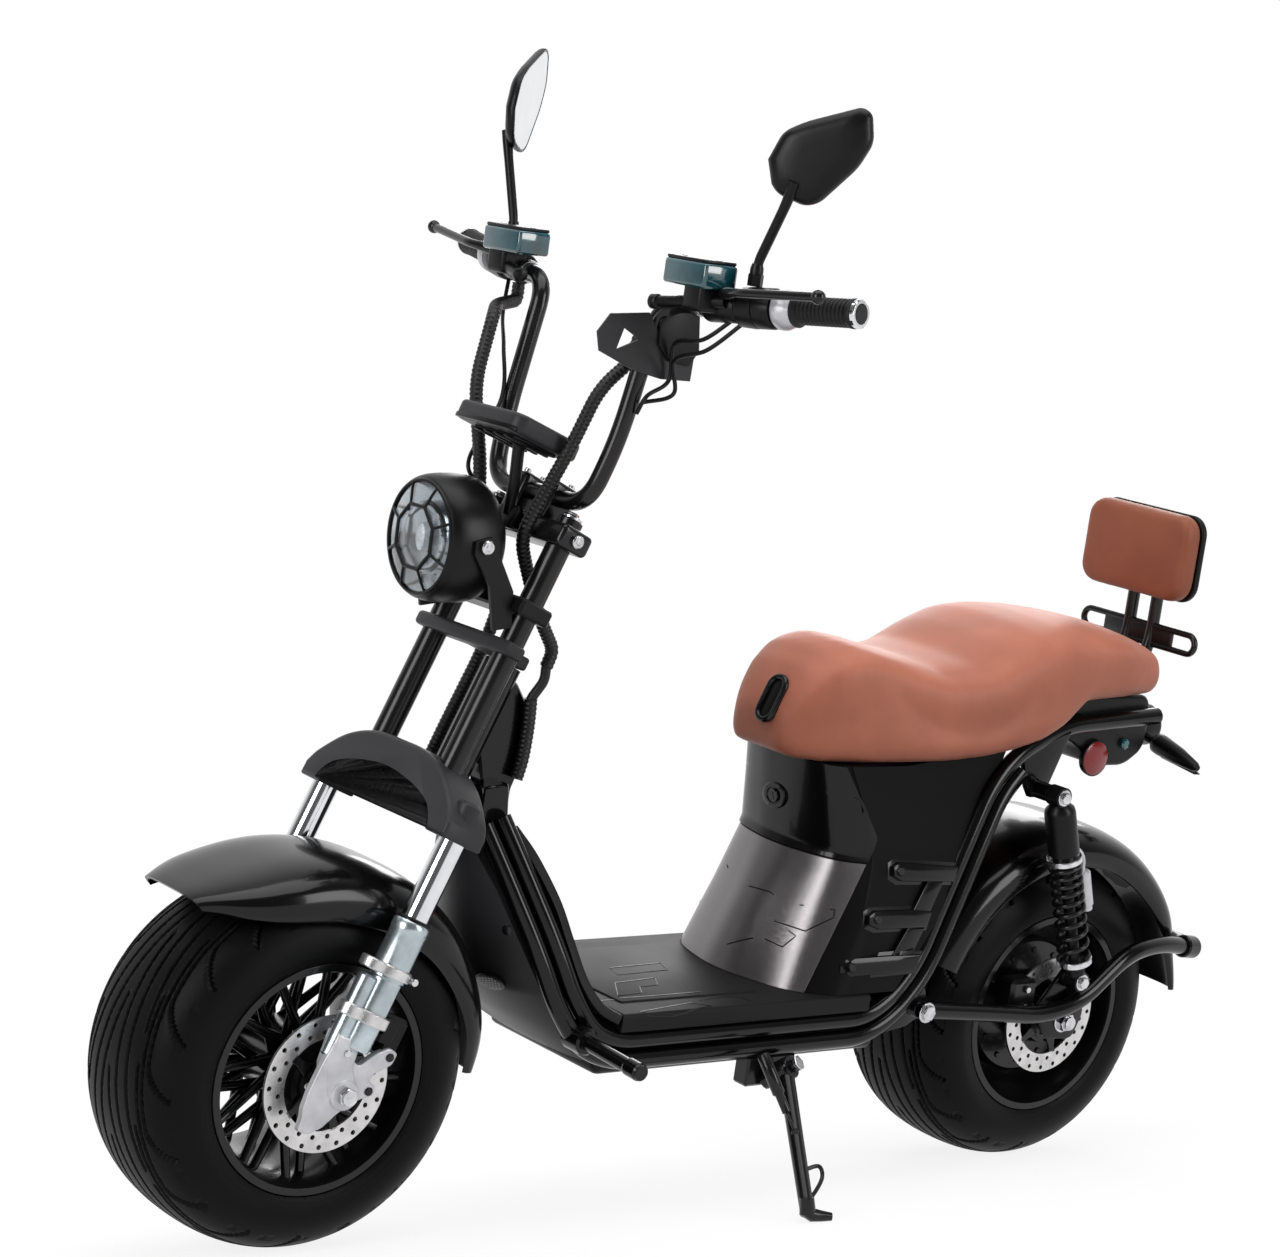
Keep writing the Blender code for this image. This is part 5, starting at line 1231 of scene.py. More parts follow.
for name, side in SIDES:
    x, y = side * 0.141, -FORK_OFFSET
    add(
        f"chrome_tube_{name}", post(x, y, -0.3917, -0.23, 0.0165, 56), CHROME, ON_FORK,
        [f"stanchion_{name}"],
    )
    x = side * 0.076
    add(
        f"black_tube_{name}", post(x, y, -0.1957, 0.152, 0.0155, 56, edge=0.002), STEEL_BLACK, ON_FORK,
        [f"upper_tube_{name}"],
    )
    add(f"tube_cap_{name}", [
        post(x, y, 0.15, 0.1565, 0.0125, 32, edge=0.002), post(x, y, 0.156, 0.16, 0.007, 6),
    ], BOLT, ON_FORK)
    x = side * 0.141
    top = -0.352
    barrel = lathe(mm([
        (-158, 0), (-158, 19), (-150, 20), (-72, 20), (-70, 21.8), (-14, 21.8), (-12, 22.6), (-3, 22.6),
        (0, 20.5), (0, 16.8),
    ]), 48, Matrix.Translation((x, y, top)))
    seal = lathe(mm(
        [(0.2, 16.8), (0.2, 20), (3, 19.6), (4.6, 18), (4.6, 16.8)]
    ), 40, Matrix.Translation((x, y, top)), closed=True)
    front_tube = post(x, y - 0.024, top - 0.074, top - 0.178, 0.0125, 40, edge=0.003)
    clamps = []
    for z, thick in ((-0.061, 0.0065), (-0.119, 0.0075)):
        clamps.append(post(x, y, top + z - thick, top + z + thick, 0.0262, 44, edge=0.0015))
        clamps.append(post(x, y - 0.024, top + z - thick, top + z + thick, 0.0172, 40, edge=0.0015))
    outline = mm([
        (-93.5, -506), (-59, -506), (-54, -523), (-44, -525), (-29.8, -504.4), (-15, -492.5), (-2, -495),
        (-2.9, -510.1), (-20, -526), (-22.5, -537), (-10, -539.5), (-7.5, -549.4), (-22, -559.2),
        (-33.6, -570.8), (-44, -586), (-54, -606.3), (-68.7, -619), (-82.6, -620), (-85, -603.6),
        (-89, -596), (-91.8, -575.7), (-92, -540),
    ])
    soft_outline = softened(outline, 0.004, 4)
    foot = merged(
        prism(soft_outline, x + side * 0.006 - 0.005, x + side * 0.006 + 0.005, "X", 0.0016, 3),
        prism(mm([
            (-91, -500), (-56, -500), (-52, -530), (-30, -552), (-32, -574), (-52, -580), (-68, -570),
            (-86, -540),
        ]), x - 0.014, x + 0.013, "X", 0.004, 3),
        pin(x + side * 0.008, x + side * 0.015, AXLE.y, AXLE.z, 0.0185, 36, edge=0.002),
    )
    ears = [
        pin(x + side * 0.0108, x + side * 0.0128, a, b, 0.0052, 24)
        for a, b in ((-0.0105, -0.5027), (-0.017, -0.5475))
    ]
    add(f"lug_ears_{name}", ears, STEEL_BLACK, ON_FORK)
    add(f"fork_lower_{name}", [barrel, front_tube], ZINC, ON_FORK, [f"fork_leg_{name}"], 40)
    add(f"fork_rings_{name}", clamps, DISC, ON_FORK, soft=40, slot="zinc")
    add(f"fork_seal_{name}", seal, SATIN, ON_FORK)
    add(f"axle_lug_{name}", foot, LUG, ON_FORK, soft=40)
    bolts = [pin(x + side * 0.0145, x + side * 0.0215, AXLE.y, AXLE.z, 0.0115, 6, edge=0.001)]
    bolts.append(pin(x + side * 0.012, x + side * 0.016, y - 0.012, top - 0.165, 0.0045, 20))
    bolts.append(pin(x + side * 0.018, x + side * 0.026, y + 0.022, top - 0.061, 0.0045, 20))
    add(f"fork_bolts_{name}", bolts, BOLT, ON_FORK)

# Handlebar, grips and controls, drawn wheel straight

BAR_LOW = HEAD + HEAD_TURN @ Vector((0, -0.062, 0.1713))
BAR_HALF = [
    (0.098, BAR_LOW.y, BAR_LOW.z), (0.116, -0.306, 0.985), (0.118, -0.272, 1.148), (0.398, -0.205, 1.173),
]


def bar_point(x, lift=0.0, ahead=0.0):
    inner, outer = Vector(BAR_HALF[2]), Vector(BAR_HALF[3])
    side = 1 if x > 0 else -1
    at = inner.lerp(outer, (abs(x) - inner.x) / (outer.x - inner.x))
    return Vector((side * at.x, at.y - ahead, at.z + lift))


bar_path = [(-x, y, z) for x, y, z in reversed(BAR_HALF)] + BAR_HALF
add("bar", tube(bar_path, 0.011, 0.038, 28, 10), STEEL_BLACK, ON_BAR, ["handlebar"], 60)
for name, side in SIDES:
    start, end = bar_point(side * 0.312), bar_point(side * 0.392)
    long = (end - start).length
    profile = mm([(0, 11.5), (0, 19.5), (3, 19.8), (6, 17.2)])
    for k in range(12):
        a = 0.008 + k * (long - 0.016) / 12
        profile += [(a, 0.015), (a + 0.0012, 0.0164), (a + 0.0038, 0.0164), (a + 0.005, 0.015)]
    profile += [(long - 0.006, 0.017), (long - 0.002, 0.0172), (long, 0.0165), (long, 0.0115)]
    add(
        f"grip_rubber_{name}", lathe(profile, 40, axis_turn(start, end), closed=True), GRIP, ON_BAR,
        [f"grip_{name}"], 40,
    )
    ends = lathe([
        (long + 0.0003, 0.0118), (long + 0.0003, 0.016), (long + 0.001, 0.0166), (long + 0.0045, 0.0166),
        (long + 0.006, 0.015), (long + 0.006, 0.0118),
    ], 44, axis_turn(start, end), closed=True)
    add(f"bar_end_{name}", ends, CHROME, ON_BAR)
    plug = lathe([
        (long - 0.004, 0.0), (long - 0.004, 0.0116), (long + 0.0048, 0.0116), (long + 0.0054, 0.0105),
        (long + 0.004, 0.006), (long + 0.004, 0.0),
    ], 36, axis_turn(start, end))
    add(f"bar_plug_{name}", plug, STEEL_BLACK, ON_BAR)
    shine = lathe(mm(
        [(0, 15), (0, 21), (4, 23.6), (12, 23.6), (20, 20.5), (24, 18.5), (24, 15)]
    ), 44, axis_turn(bar_point(side * 0.288), bar_point(side * 0.312)), closed=True)
    add(f"grip_sleeve_{name}", shine, LUG, ON_BAR, soft=50, slot="chrome")
    near, far = bar_point(side * 0.236), bar_point(side * 0.31)
    box = lathe(mm([
        (0, 11.5), (0, 20), (3, 23), (22, 24.2), (26.5, 23.8), (27.5, 22.2), (28.5, 23.8), (48, 23.6),
        (51.5, 22), (51.5, 11.5),
    ]), 48, axis_turn(near, far), closed=True)
    extra = []
    for along, up, r in ((0.262, 0.022, 0.0048), (0.278, 0.0215, 0.004)):
        extra.append(rod(
            bar_point(side * along, up * 0.4, -up * 0.8),
            bar_point(side * along, up * 0.55, -up * 1.16), r, 20,
        ))
    perch = lathe(mm(
        [(0, 11.5), (0, 18), (3, 19.2), (42, 19.2), (45.5, 17.5), (45.5, 11.5)]
    ), 40, axis_turn(bar_point(side * 0.19), bar_point(side * 0.2355)), closed=True)
    base_at = bar_point(side * 0.15)
    neck_at = base_at + Vector((side * 0.052, 0, 0))
    neck_block = block(
        neck_at + Vector((-0.018, -0.03, -0.004)), neck_at + Vector((0.018, 0.008, 0.034)), 0.006, 4,
    )
    add(f"switch_box_{name}", [box, perch, neck_block, *extra], SATIN, ON_BAR, [f"control_{name}"], 40)
    tank_at = base_at + Vector((side * 0.038, 0, 0))
    tank = block(
        tank_at + Vector((-0.04, -0.034, 0.023)), tank_at + Vector((0.04, 0.014, 0.0525)), 0.0045, 4,
    )
    add(f"fluid_tank_{name}", tank, TEAL, ON_BAR, soft=60)
    cap = block(
        tank_at + Vector((-0.038, -0.032, 0.052)), tank_at + Vector((0.038, 0.012, 0.056)), 0.0018, 3,
    )
    screws = [
        rod(tank_at + Vector((dx, -0.01, 0.0555)), tank_at + Vector((dx, -0.01, 0.0572)), 0.0036, 20)
        for dx in (-0.032, 0.032)
    ]
    add(f"tank_cap_{name}", cap, SATIN, ON_BAR, soft=50)
    add(f"tank_screws_{name}", screws, BOLT, ON_BAR)
    run = bent([
        bar_point(side * 0.222, 0.012, 0.018), bar_point(side * 0.25, 0.014, 0.036),
        bar_point(side * 0.275, 0.014, 0.05), bar_point(side * 0.39, 0.014, 0.058),
    ], 0.02, 10)
    radii = [0.0078 - 0.0024 * min(1.0, k / (len(run) * 0.6)) for k in range(len(run))]
    handle = sweep(run, radii, 20)
    ball_at = bar_point(side * 0.391, 0.014, 0.058)
    ball = lathe([
        (-0.0085 * math.cos(k * math.pi / 14), 0.0085 * math.sin(k * math.pi / 14)) for k in range(15)
    ], 28, axis_turn(ball_at, ball_at + Vector((side, 0, 0))))
    add(f"brake_lever_{name}", [handle, ball], STEEL_BLACK, ON_BAR, soft=60)
    guard = sweep([
        bar_point(side * 0.14, 0.0, 0.03), bar_point(side * 0.185, 0.002, 0.028),
        bar_point(side * 0.232, 0.004, 0.022),
    ], 0.0068, 20)
    knob = rod(
        bar_point(side * 0.134, 0.0, 0.03), bar_point(side * 0.146, 0.0, 0.03), 0.0088, 28, edge=0.0015,
    )
    add(f"guard_bar_{name}", [guard, knob], SATIN, ON_BAR, soft=50)
    collar = lathe(
        mm([(0, 11.3), (0, 13.5), (1, 14), (10, 14), (11, 13.5), (11, 11.3)]), 36,
        axis_turn(bar_point(side * 0.17), bar_point(side * 0.182)), closed=True,
    )
    add(f"bar_collar_{name}", collar, BOLT, ON_BAR)

# Mirrors

MIRRORS = (("left", 1, 39.5, 1.0, 1.283), ("right", -1, 50.0, 1.16, 1.296))
MIRROR_OUTLINE = mm([
    (-32, 38), (-16, 78), (8, 92), (70, 116), (82, 110), (88, 78), (74, 48), (36, 4), (20, -2), (-14, 8),
    (-26, 24),
])
for name, side, degrees, size, height in MIRRORS:
    foot = bar_point(side * 0.248, 0.0284, 0.0)
    top = Vector((side * 0.279, -0.235, height))
    turn = math.radians(degrees)
    run = Vector((side * math.cos(turn), math.sin(turn), 0)) * size
    back_way = Vector((side * math.sin(turn), -math.cos(turn), 0))
    outline = softened(MIRROR_OUTLINE, 0.01, 6)

    def mirror_loop(depth, shrink, middle=(0.032, 0.056)):
        loop = []
        for a, b in outline:
            a, b = a + (middle[0] - a) * shrink, b + (middle[1] - b) * shrink
            loop.append(top + run * a + Vector((0, 0, b * size)) + back_way * (depth - 0.006))
        return loop

    shell = loft([
        mirror_loop(d, k)
        for d, k in (
            (0.0025, 0.06), (0.0, 0.045), (0.0, 0.01), (0.001, 0.0), (0.005, 0.0), (0.009, 0.025),
            (0.013, 0.09), (0.016, 0.2), (0.0175, 0.36), (0.018, 0.6),
        )
    ])
    add(f"mirror_shell_{name}", shell, SATIN, ON_BAR, [f"mirror_{name}"], 50)
    face = loft([mirror_loop(0.0004, 0.055), mirror_loop(0.0028, 0.055)])
    add(f"mirror_pane_{name}", face, MIRROR, ON_BAR, soft=30)
    stem = bent([
        foot, foot + Vector((0, 0, 0.022)), top + Vector((side * 0.004, -0.004, 0.0)),
        top + Vector((side * 0.012, -0.004, 0.024)),
    ], 0.014, 8)
    radii = [0.0052 + 0.0014 * (k / (len(stem) - 1)) for k in range(len(stem))]
    nut = rod(foot - Vector((0, 0, 0.004)), foot + Vector((0, 0, 0.01)), 0.009, 6)
    boot = lathe(mm([(10, 0), (10, 7.8), (16, 7.8), (22, 6.2), (22, 0)]), 28, Matrix.Translation(foot))
    add(f"mirror_stem_{name}", [sweep(stem, radii, 20), nut, boot], SATIN, ON_BAR)

# Clamps over the fork and the plates beside the left riser

add("middle_bridge", [
    moved(prism(
        mm([(-98, -10), (-92, 12), (92, 12), (98, -10), (98, -18), (80, -21), (-80, -21), (-98, -18)]),
        -0.028, -0.01, "Z", 0.005, 4,
    ), Matrix.Translation((0, -FORK_OFFSET, 0))),
    block((-0.022, -FORK_OFFSET, -0.0275), (0.022, 0.02, -0.0105), 0.004, 3),
], GREY, ON_FORK, ["middle_clamp"], 40)
bridge = [block((-0.104, -FORK_OFFSET - 0.024, 0.114), (0.104, -FORK_OFFSET + 0.024, 0.142), 0.007, 5)]
for side in (1, -1):
    bridge.append(block(
        (side * 0.03 - 0.014, -FORK_OFFSET - 0.02, 0.138), (side * 0.03 + 0.014, -FORK_OFFSET + 0.02, 0.19),
        0.006, 4,
    ))
add("top_bridge", bridge, STEEL_BLACK, ON_FORK, ["top_clamp"], 40)
ends = []
for side in (1, -1):
    ends.append(pin(side * 0.1035, side * 0.11, -FORK_OFFSET, 0.128, 0.008, 28, edge=0.0015))
    ends.append(pin(side * 0.1095, side * 0.1115, -FORK_OFFSET, 0.128, 0.0042, 6))
    for dy in (-0.013, 0.013):
        ends.append(post(side * 0.03, -FORK_OFFSET + dy, 0.189, 0.1945, 0.0042, 20))
add("bridge_bolts", ends, BOLT, ON_FORK)

dress("riser_plate", GREY)
cover = mm([
    (-282, 1128), (-262, 1146), (-226, 1140), (-220, 1096), (-232, 1078), (-262, 1082), (-280, 1100),
])
add("riser_cover", prism(cover, 0.1322, 0.1365, "X", 0.0014, 3), SATIN, ON_BAR)

# Headlight

LAMP_FACE = Vector((0.0, -0.487, 0.843))
ON_LAMP = ("steering", FRONT @ Matrix.Translation(LAMP_FACE) @ Matrix.Rotation(-math.pi / 2, 4, "X"))
drum = mm([
    (10, 0), (10, 67.2), (0.2, 67.6), (-0.6, 69), (0.8, 70.6), (4, 72.4), (11, 74.5), (24, 76), (40, 76.4),
    (56, 75.5), (64, 74), (71.5, 69.5), (79, 61.5), (86, 50), (91.5, 40), (94.5, 25), (96, 0),
])
add("lamp_drum", lathe(drum, 96), SATIN, ON_LAMP, ["headlight"], 40)
bowl = mm([
    (9.6, 0), (9.6, 15), (5, 32), (3, 37), (3, 40), (9, 43), (7.8, 52), (2, 66), (9.8, 67), (9.9, 0),
])
add("lamp_bowl", lathe(bowl, 80), REFLECTOR, ON_LAMP, soft=40)
add("lamp_bulb", moved(
    lathe(mm([(-3, 0), (-2, 7.5), (1, 12), (9.2, 13), (9.2, 0)]), 40), Matrix.Diagonal((0.75, 1.35, 1, 1)),
), BULB, ON_LAMP, soft=40)
pane = mm([
    (-10, 0), (-9.5, 20), (-7.2, 40), (-3.6, 56), (0.6, 67), (2, 67), (-2, 55), (-5.4, 40), (-7.7, 20),
    (-8.2, 0),
])
add("lamp_pane", lathe(pane, 80), CLEAR, ON_LAMP, ["headlight_lens"], 50)


def lens_height(r):
    return float(np.interp(r, [0.0, 0.02, 0.04, 0.058, 0.0694], [-0.01, -0.0095, -0.0072, -0.0032, 0.001]))


bars = []
for k in range(8):
    a = math.radians(22.5 + 45 * k)
    b = math.radians(22.5 + 45 * (k + 1))
    for one, two, r0, r1 in ((a, b, 0.0395, 0.0395), (a, a, 0.0385, 0.0665)):
        path = []
        for i in range(9):
            t = i / 8
            x = r0 * math.cos(one) * (1 - t) + r1 * math.cos(two) * t
            y = r0 * math.sin(one) * (1 - t) + r1 * math.sin(two) * t
            path.append((x, y, lens_height(math.hypot(x, y)) - 0.001))
        bars.append(sweep(path, 0.0024 if r0 == r1 else 0.0018, 10))
bars.append(lathe(
    mm([(-1.2, 64), (-3, 65.5), (-2.6, 68), (0.6, 69.8), (1.5, 69), (1, 64)]), 80, closed=True,
))
add("lamp_guard", bars, SATIN, ON_LAMP, soft=50)
bolts = []
for side in (1, -1):
    bolts.append(pin(side * 0.08, side * 0.0875, -0.448, 0.846, 0.0085, 28, edge=0.0015))
    bolts.append(pin(side * 0.087, side * 0.0885, -0.448, 0.846, 0.0045, 6))
add("lamp_bolts", bolts, BOLT, ON_BAR)
dress("headlight_bracket", SATIN)

# Instrument

ON_DASH = ("steering", FRONT @ Matrix.Translation((0.0, -0.368, 0.974)) @ Matrix.Rotation(
    math.radians(-20.0), 4, "X",
))
plan = rounded_box(0.05, 0.034, 0.018, 9)
pod = prism(plan, -0.011, 0.0125, "Z", 0.0055, 5)
add("dash_pod", pod, GREY, ON_DASH, ["instrument"], 45)
add("dash_screen", prism(
    [(x * 0.86, y * 0.84) for x, y in plan], 0.0118, 0.0131, "Z", 0.0006, 2,
), SCREEN, ON_DASH)
under = [block((-0.045, -0.03, -0.0145), (0.045, 0.034, -0.01), 0.003, 3)]
for x0 in (-0.036, -0.014, 0.008, 0.03):
    under.append(block((x0, -0.036, -0.017), (x0 + 0.007, 0.03, -0.0135), 0.0015, 2))
under.append(prism(
    mm([(-64, -48), (-52, -53.5), (52, -53.5), (64, -48), (60, -40), (-60, -40)]), -0.0105, -0.004, "Z",
    0.0015, 2,
))
add("dash_back", under, SATIN, ON_DASH)
foot = HEAD + HEAD_TURN @ Vector((0, -0.0893, 0.13))
arm = merged(moved(
    block((-0.018, -0.0933, 0.114), (0.018, -0.0813, 0.142), 0.003, 3),
    Matrix.Translation(HEAD) @ HEAD_TURN.to_4x4(),
), tube([foot, foot + Vector((0, 0.004, 0.04)), Vector((0, -0.364, 0.968))], 0.0075, 0.02, 20, 8))
add("dash_arm", arm, SATIN, ON_BAR)


# Braided sleeves and cables

SLEEVE_LEFT = mm([
    (88, -112, 300), (79.5, -106, 220), (58, -96, 160), (47, -92.5, 108), (40, -55, 76), (34, -10, 40),
    (28, 38, 12), (26, 41, -10),
])
SLEEVE_RIGHT = mm([
    (-118, -156, 352), (-96, -150, 260), (-64, -110, 170), (-56, -93.5, 125), (-52, -88, 102),
    (-50, -50, 74), (-50, -8, 44), (-53, 2, -20), (-58, 4, -130),
])
SLEEVE_LOW = mm([(22.4, -315, 655), (22.4, -313, 620), (22.4, -315, 580), (22.4, -320.5, 556)])


def in_front(p):
    return HEAD + HEAD_TURN @ Vector(p)


def braid(path, radius=0.0085, pitch=0.0056, bend=0.03):
    """A sleeve whose surface rises and falls along it like woven yarn."""
    line = bent(path, bend, 8)
    points = even_points(
        line, max(12, int(sum((b - a).length for a, b in zip(line, line[1:])) / (pitch / 2))),
    )
    return sweep(points, [radius - 0.0009 * (k % 2) for k in range(len(points))], 18)


inward = Vector((0.0201, 0, 0))
riser_low, riser_top = Vector(BAR_HALF[1]), Vector(BAR_HALF[2])
left_path = [
    riser_low.lerp(riser_top, t) - inward for t in (0.78, 0.56)
] + [in_front(p) for p in SLEEVE_LEFT]
add("braid_left", braid(left_path), SLEEVE, ON_BAR, ["sleeve_left"], 30)
under_perch = bar_point(-0.205, -0.0196)
drop = under_perch - Vector((0, 0, 0.022))
lead = drop.lerp(in_front(SLEEVE_RIGHT[0]), 0.5) - Vector((0, 0.014, 0))
add("braid_right", braid(
    [under_perch, drop, lead] + [in_front(p) for p in SLEEVE_RIGHT + [(-0.06, 0.006, -0.165)]]
), SLEEVE, ON_BAR, ["sleeve_right"], 30)
add("braid_low", braid(SLEEVE_LOW), SLEEVE, replaces=["sleeve_low"], soft=30)
start = FRONT @ in_front(SLEEVE_LEFT[-1])
end = VEHICLE @ Vector(SLEEVE_LOW[0])
crossing = [
    start + (FRONT.to_3x3() @ Vector((0, 0.002, 0.006))), start,
    start.lerp(end, 0.4) + VEHICLE.to_3x3() @ Vector((0.004, 0.004, 0)), end,
    end + VEHICLE.to_3x3() @ Vector((0, 0, -0.01)),
]
bridge_piece = add("cable_crossing", sweep(bent(crossing, 0.012, 8), 0.0062, 16), SLEEVE, (None, IDENTITY))
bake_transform(bridge_piece)

thin = [
    [
        bar_point(0.226, -0.014), bar_point(0.196, -0.04, 0.01), Vector((0.15, -0.268, 1.104)),
        Vector((0.1395, -0.262, 1.06)), Vector((0.139, -0.29, 1.04)),
        riser_low.lerp(riser_top, 0.2) + Vector((0.0135, 0.004, 0)),
    ],
    [
        bar_point(0.24, -0.018), bar_point(0.205, -0.052, 0.012), Vector((0.156, -0.27, 1.085)),
        Vector((0.144, -0.256, 1.045)), riser_low.lerp(riser_top, 0.28) + Vector((0.0135, 0.006, 0)),
    ],
    [
        bar_point(-0.24, -0.018), bar_point(-0.21, -0.06, 0.016), Vector((-0.15, -0.3, 1.06)),
        Vector((-0.112, -0.32, 1.0)), in_front((-0.08, -0.12, 0.175)), in_front((-0.066, -0.102, 0.15)),
    ],
]
add("thin_cables", [sweep(curved(path, 10), 0.0026, 12) for path in thin], SATIN, ON_BAR)

# Swingarm and axle plates


def around_rear_axle(radius, degrees):
    a = math.radians(degrees)
    return REAR_AXLE.y + radius * math.cos(a), REAR_AXLE.z + radius * math.sin(a)


y, z = REAR_AXLE.y, REAR_AXLE.z
back_y, back_z = around_rear_axle(0.268 - 0.0009 + 0.0003 + 0.012, 18.0)
hoop = [
    (0.144, 0.307, 0.26), (0.144, 0.45, 0.246), (0.144, 0.54, 0.236), (0.144, 0.61, 0.25),
    (0.144, 0.695, 0.316), (0.134, 0.77, 0.322), (0.1185, back_y, back_z),
]
arms = [tube(hoop + both(hoop[::-1], -1), 0.012, 0.05, 24, 10)]
arms.append(pin(-0.144, 0.144, *ARM_PIVOT, 0.012, 28))
bolts = []
for _, side in SIDES:
    x0, x1 = sorted((side * 0.124, side * 0.131))
    outline = [
        (y - 0.062, z + 0.03), (y - 0.03, z - 0.024), (y + 0.024, z - 0.028), (y + 0.04, z + 0.01),
        (0.612, 0.288), (0.594, 0.3), (0.576, 0.288),
    ]
    arms.append(prism(softened(outline, 0.012, 5), x0, x1, "X", 0.0016, 3))
    inner, outer = side * 0.126, side * 0.146
    arms.append(pin(inner, outer, y - 0.04, z + 0.022, 0.01, 24))
    arms.append(pin(inner, outer, y + 0.016, z + 0.036, 0.01, 24))
    arms.append(pin(inner, side * 0.1347, *SHOCK_LOW, 0.012, 24))
    for spot, reach, radius in (
        (ARM_PIVOT, 0.156, 0.011), (SHOCK_LOW, 0.1592, 0.0085), (SHOCK_TOP, 0.1592, 0.0085),
    ):
        bolts.append(rod((side * reach, *spot), (side * (reach + 0.0055), *spot), radius, 6, edge=0.001))
        bolts.append(rod(
            (side * (reach - 0.0015), *spot), (side * (reach + 0.0008), *spot), radius + 0.003, 28,
        ))
    bolts.append(pin(side * 0.131, side * 0.1335, y, z, 0.0165, 32))
    bolts.append(pin(side * 0.133, side * 0.143, y, z, 0.0135, 6, edge=0.001))
add("rear_arm", arms, GLOSS, replaces=["swingarm"], soft=45)
add("rear_bolts", bolts, BOLT)

# Shock absorbers

for name, side in SIDES:
    top, low = (Vector((side * 0.147, *spot)) for spot in (SHOCK_TOP, SHOCK_LOW))
    run = low - top
    long = run.length
    place = VEHICLE @ axis_turn(top, low)
    eyes = [pin(side * 0.147 - 0.012, side * 0.147 + 0.012, p.y, p.z, 0.014, 36) for p in (top, low)]
    body_profile = [
        (0.01, 0.0), (0.01, 0.012), (0.018, 0.02), (0.024, 0.0215), (long * 0.3, 0.0215),
        (long * 0.31, 0.017), (long * 0.33, 0.017), (long * 0.33, 0.0),
    ]
    stem = [
        (long * 0.3, 0.0), (long * 0.3, 0.008), (long * 0.9, 0.008), (long * 0.93, 0.013),
        (long - 0.01, 0.013), (long - 0.01, 0.0),
    ]
    inv = axis_turn(top, low).inverted()
    add(f"shock_body_{name}", [
        lathe(body_profile, 44), lathe(stem, 32), *[moved(eye, inv) for eye in eyes],
    ], SATIN, ("frame", place), [f"shock_{name}"], 40)
    turns, count = 9.5, 240
    coil = []
    for k in range(count + 1):
        t = k / count
        a = t * turns * math.tau
        coil.append((*around(0.0198, a), long * (0.352 + 0.518 * (0.62 * t + 0.38 * t * t))))
    add(f"shock_coil_{name}", sweep(coil, 0.0034, 12), STEEL_BLACK, ("frame", place), soft=60)
    collars = []
    for at, thick in ((0.335, 0.008), (0.885, 0.009)):
        collars.append(lathe(
            [
                (long * at - thick / 2, 0.009), (long * at - thick / 2, 0.0235),
                (long * at - thick / 2 + 0.001, 0.0245), (long * at + thick / 2 - 0.001, 0.0245),
                (long * at + thick / 2, 0.0235), (long * at + thick / 2, 0.009),
            ],
            44, closed=True,
        ))
    add(f"shock_collars_{name}", collars, BOLT, ("frame", place), soft=40)
    bottle_top, bottle_low = top + run * 0.4 + Vector((
        side * 0.004, 0.029, 0,
    )), top + run * 0.62 + Vector((side * 0.004, 0.029, 0))
    bottle = lathe(mm(
        [(0, 0), (0, 8.5), (2, 10.5), (50, 10.5), (52, 8.5), (58, 8.5), (58, 0)]
    ), 32, axis_turn(bottle_top, bottle_low))
    pipe = tube([
        bottle_top + Vector((0, 0, -0.002)), bottle_top + Vector((0, -0.003, 0.022)),
        top + run * 0.24 + Vector((0, 0.012, 0)),
    ], 0.0032, 0.012, 12, 6)
    add(f"shock_bottle_{name}", [bottle, pipe], LUG, soft=40)

dress("rear_caliper", STEEL_BLACK)
add("caliper_bolts", [pin(0.1236, 0.1285, 0.524, zz, 0.005, 6, edge=0.0008) for zz in (0.244, 0.268)], BOLT)

# Tail, lamps and rack

TAIL = mm([
    (530, 655), (560, 666.5), (728, 666.5), (738, 640), (734, 588), (700, 566), (640, 566), (600, 596),
    (545, 618),
])
add("tail_shell", prism(
    softened(TAIL, 0.014, 6), -0.0747, 0.0747, "X", 0.006, 4,
), SATIN, replaces=["tail"], soft=40)
lamps = [lathe(
    mm([(776, 0), (776, 24), (780, 29), (786, 30), (812, 30), (816.5, 29), (818, 27.2), (818, 0)]), 48,
    Matrix.Translation((0, 0, 0.607)) @ Matrix.Rotation(-math.pi / 2, 4, "X"),
), rod((0, 0.7364, 0.612), (0, 0.79, 0.609), 0.014, 28)]
for _, side in SIDES:
    lamps.append(rod((0, 0.786, 0.598), (side * 0.06, 0.786, 0.592), 0.006, 20))
    a, b = Vector((side * 0.05, 0.786, 0.593)), Vector((side * 0.14, 0.778, 0.577))
    long = (b - a).length
    lamps.append(lathe(
        [
            (0, 0.0), (0, 0.0115), (0.004, 0.0145), (0.012, 0.015), (long * 0.55, 0.0125),
            (long - 0.006, 0.007), (long, 0.004), (long, 0.0),
        ],
        36, axis_turn(a, b),
    ))
add("rear_lamps", lamps, SATIN, replaces=["tail_lamp"], soft=45)
lens_profile = mm([(817, 0), (817, 26.2), (818.5, 26.2), (821.5, 22.5), (823.2, 12), (823.6, 0)])
add("tail_lens", lathe(
    lens_profile, 48, Matrix.Translation((0, 0, 0.607)) @ Matrix.Rotation(-math.pi / 2, 4, "X"),
), RED)
signals = []
for _, side in SIDES:
    signals.append(moved(
        prism(
            [
                (side * 0.056, 0.0055), (side * 0.122, 0.0032), (side * 0.13, 0.0), (side * 0.122, -0.0032),
                (side * 0.056, -0.0055),
            ][:: int(side)],
            -0.002, 0.003, "Y", 0.0012, 2,
        ),
        Matrix.Translation((0, 0.7975, 0.585)) @ Matrix.Rotation(side * math.radians(9), 4, "Y"),
    ))
add("signal_lenses", signals, AMBER)

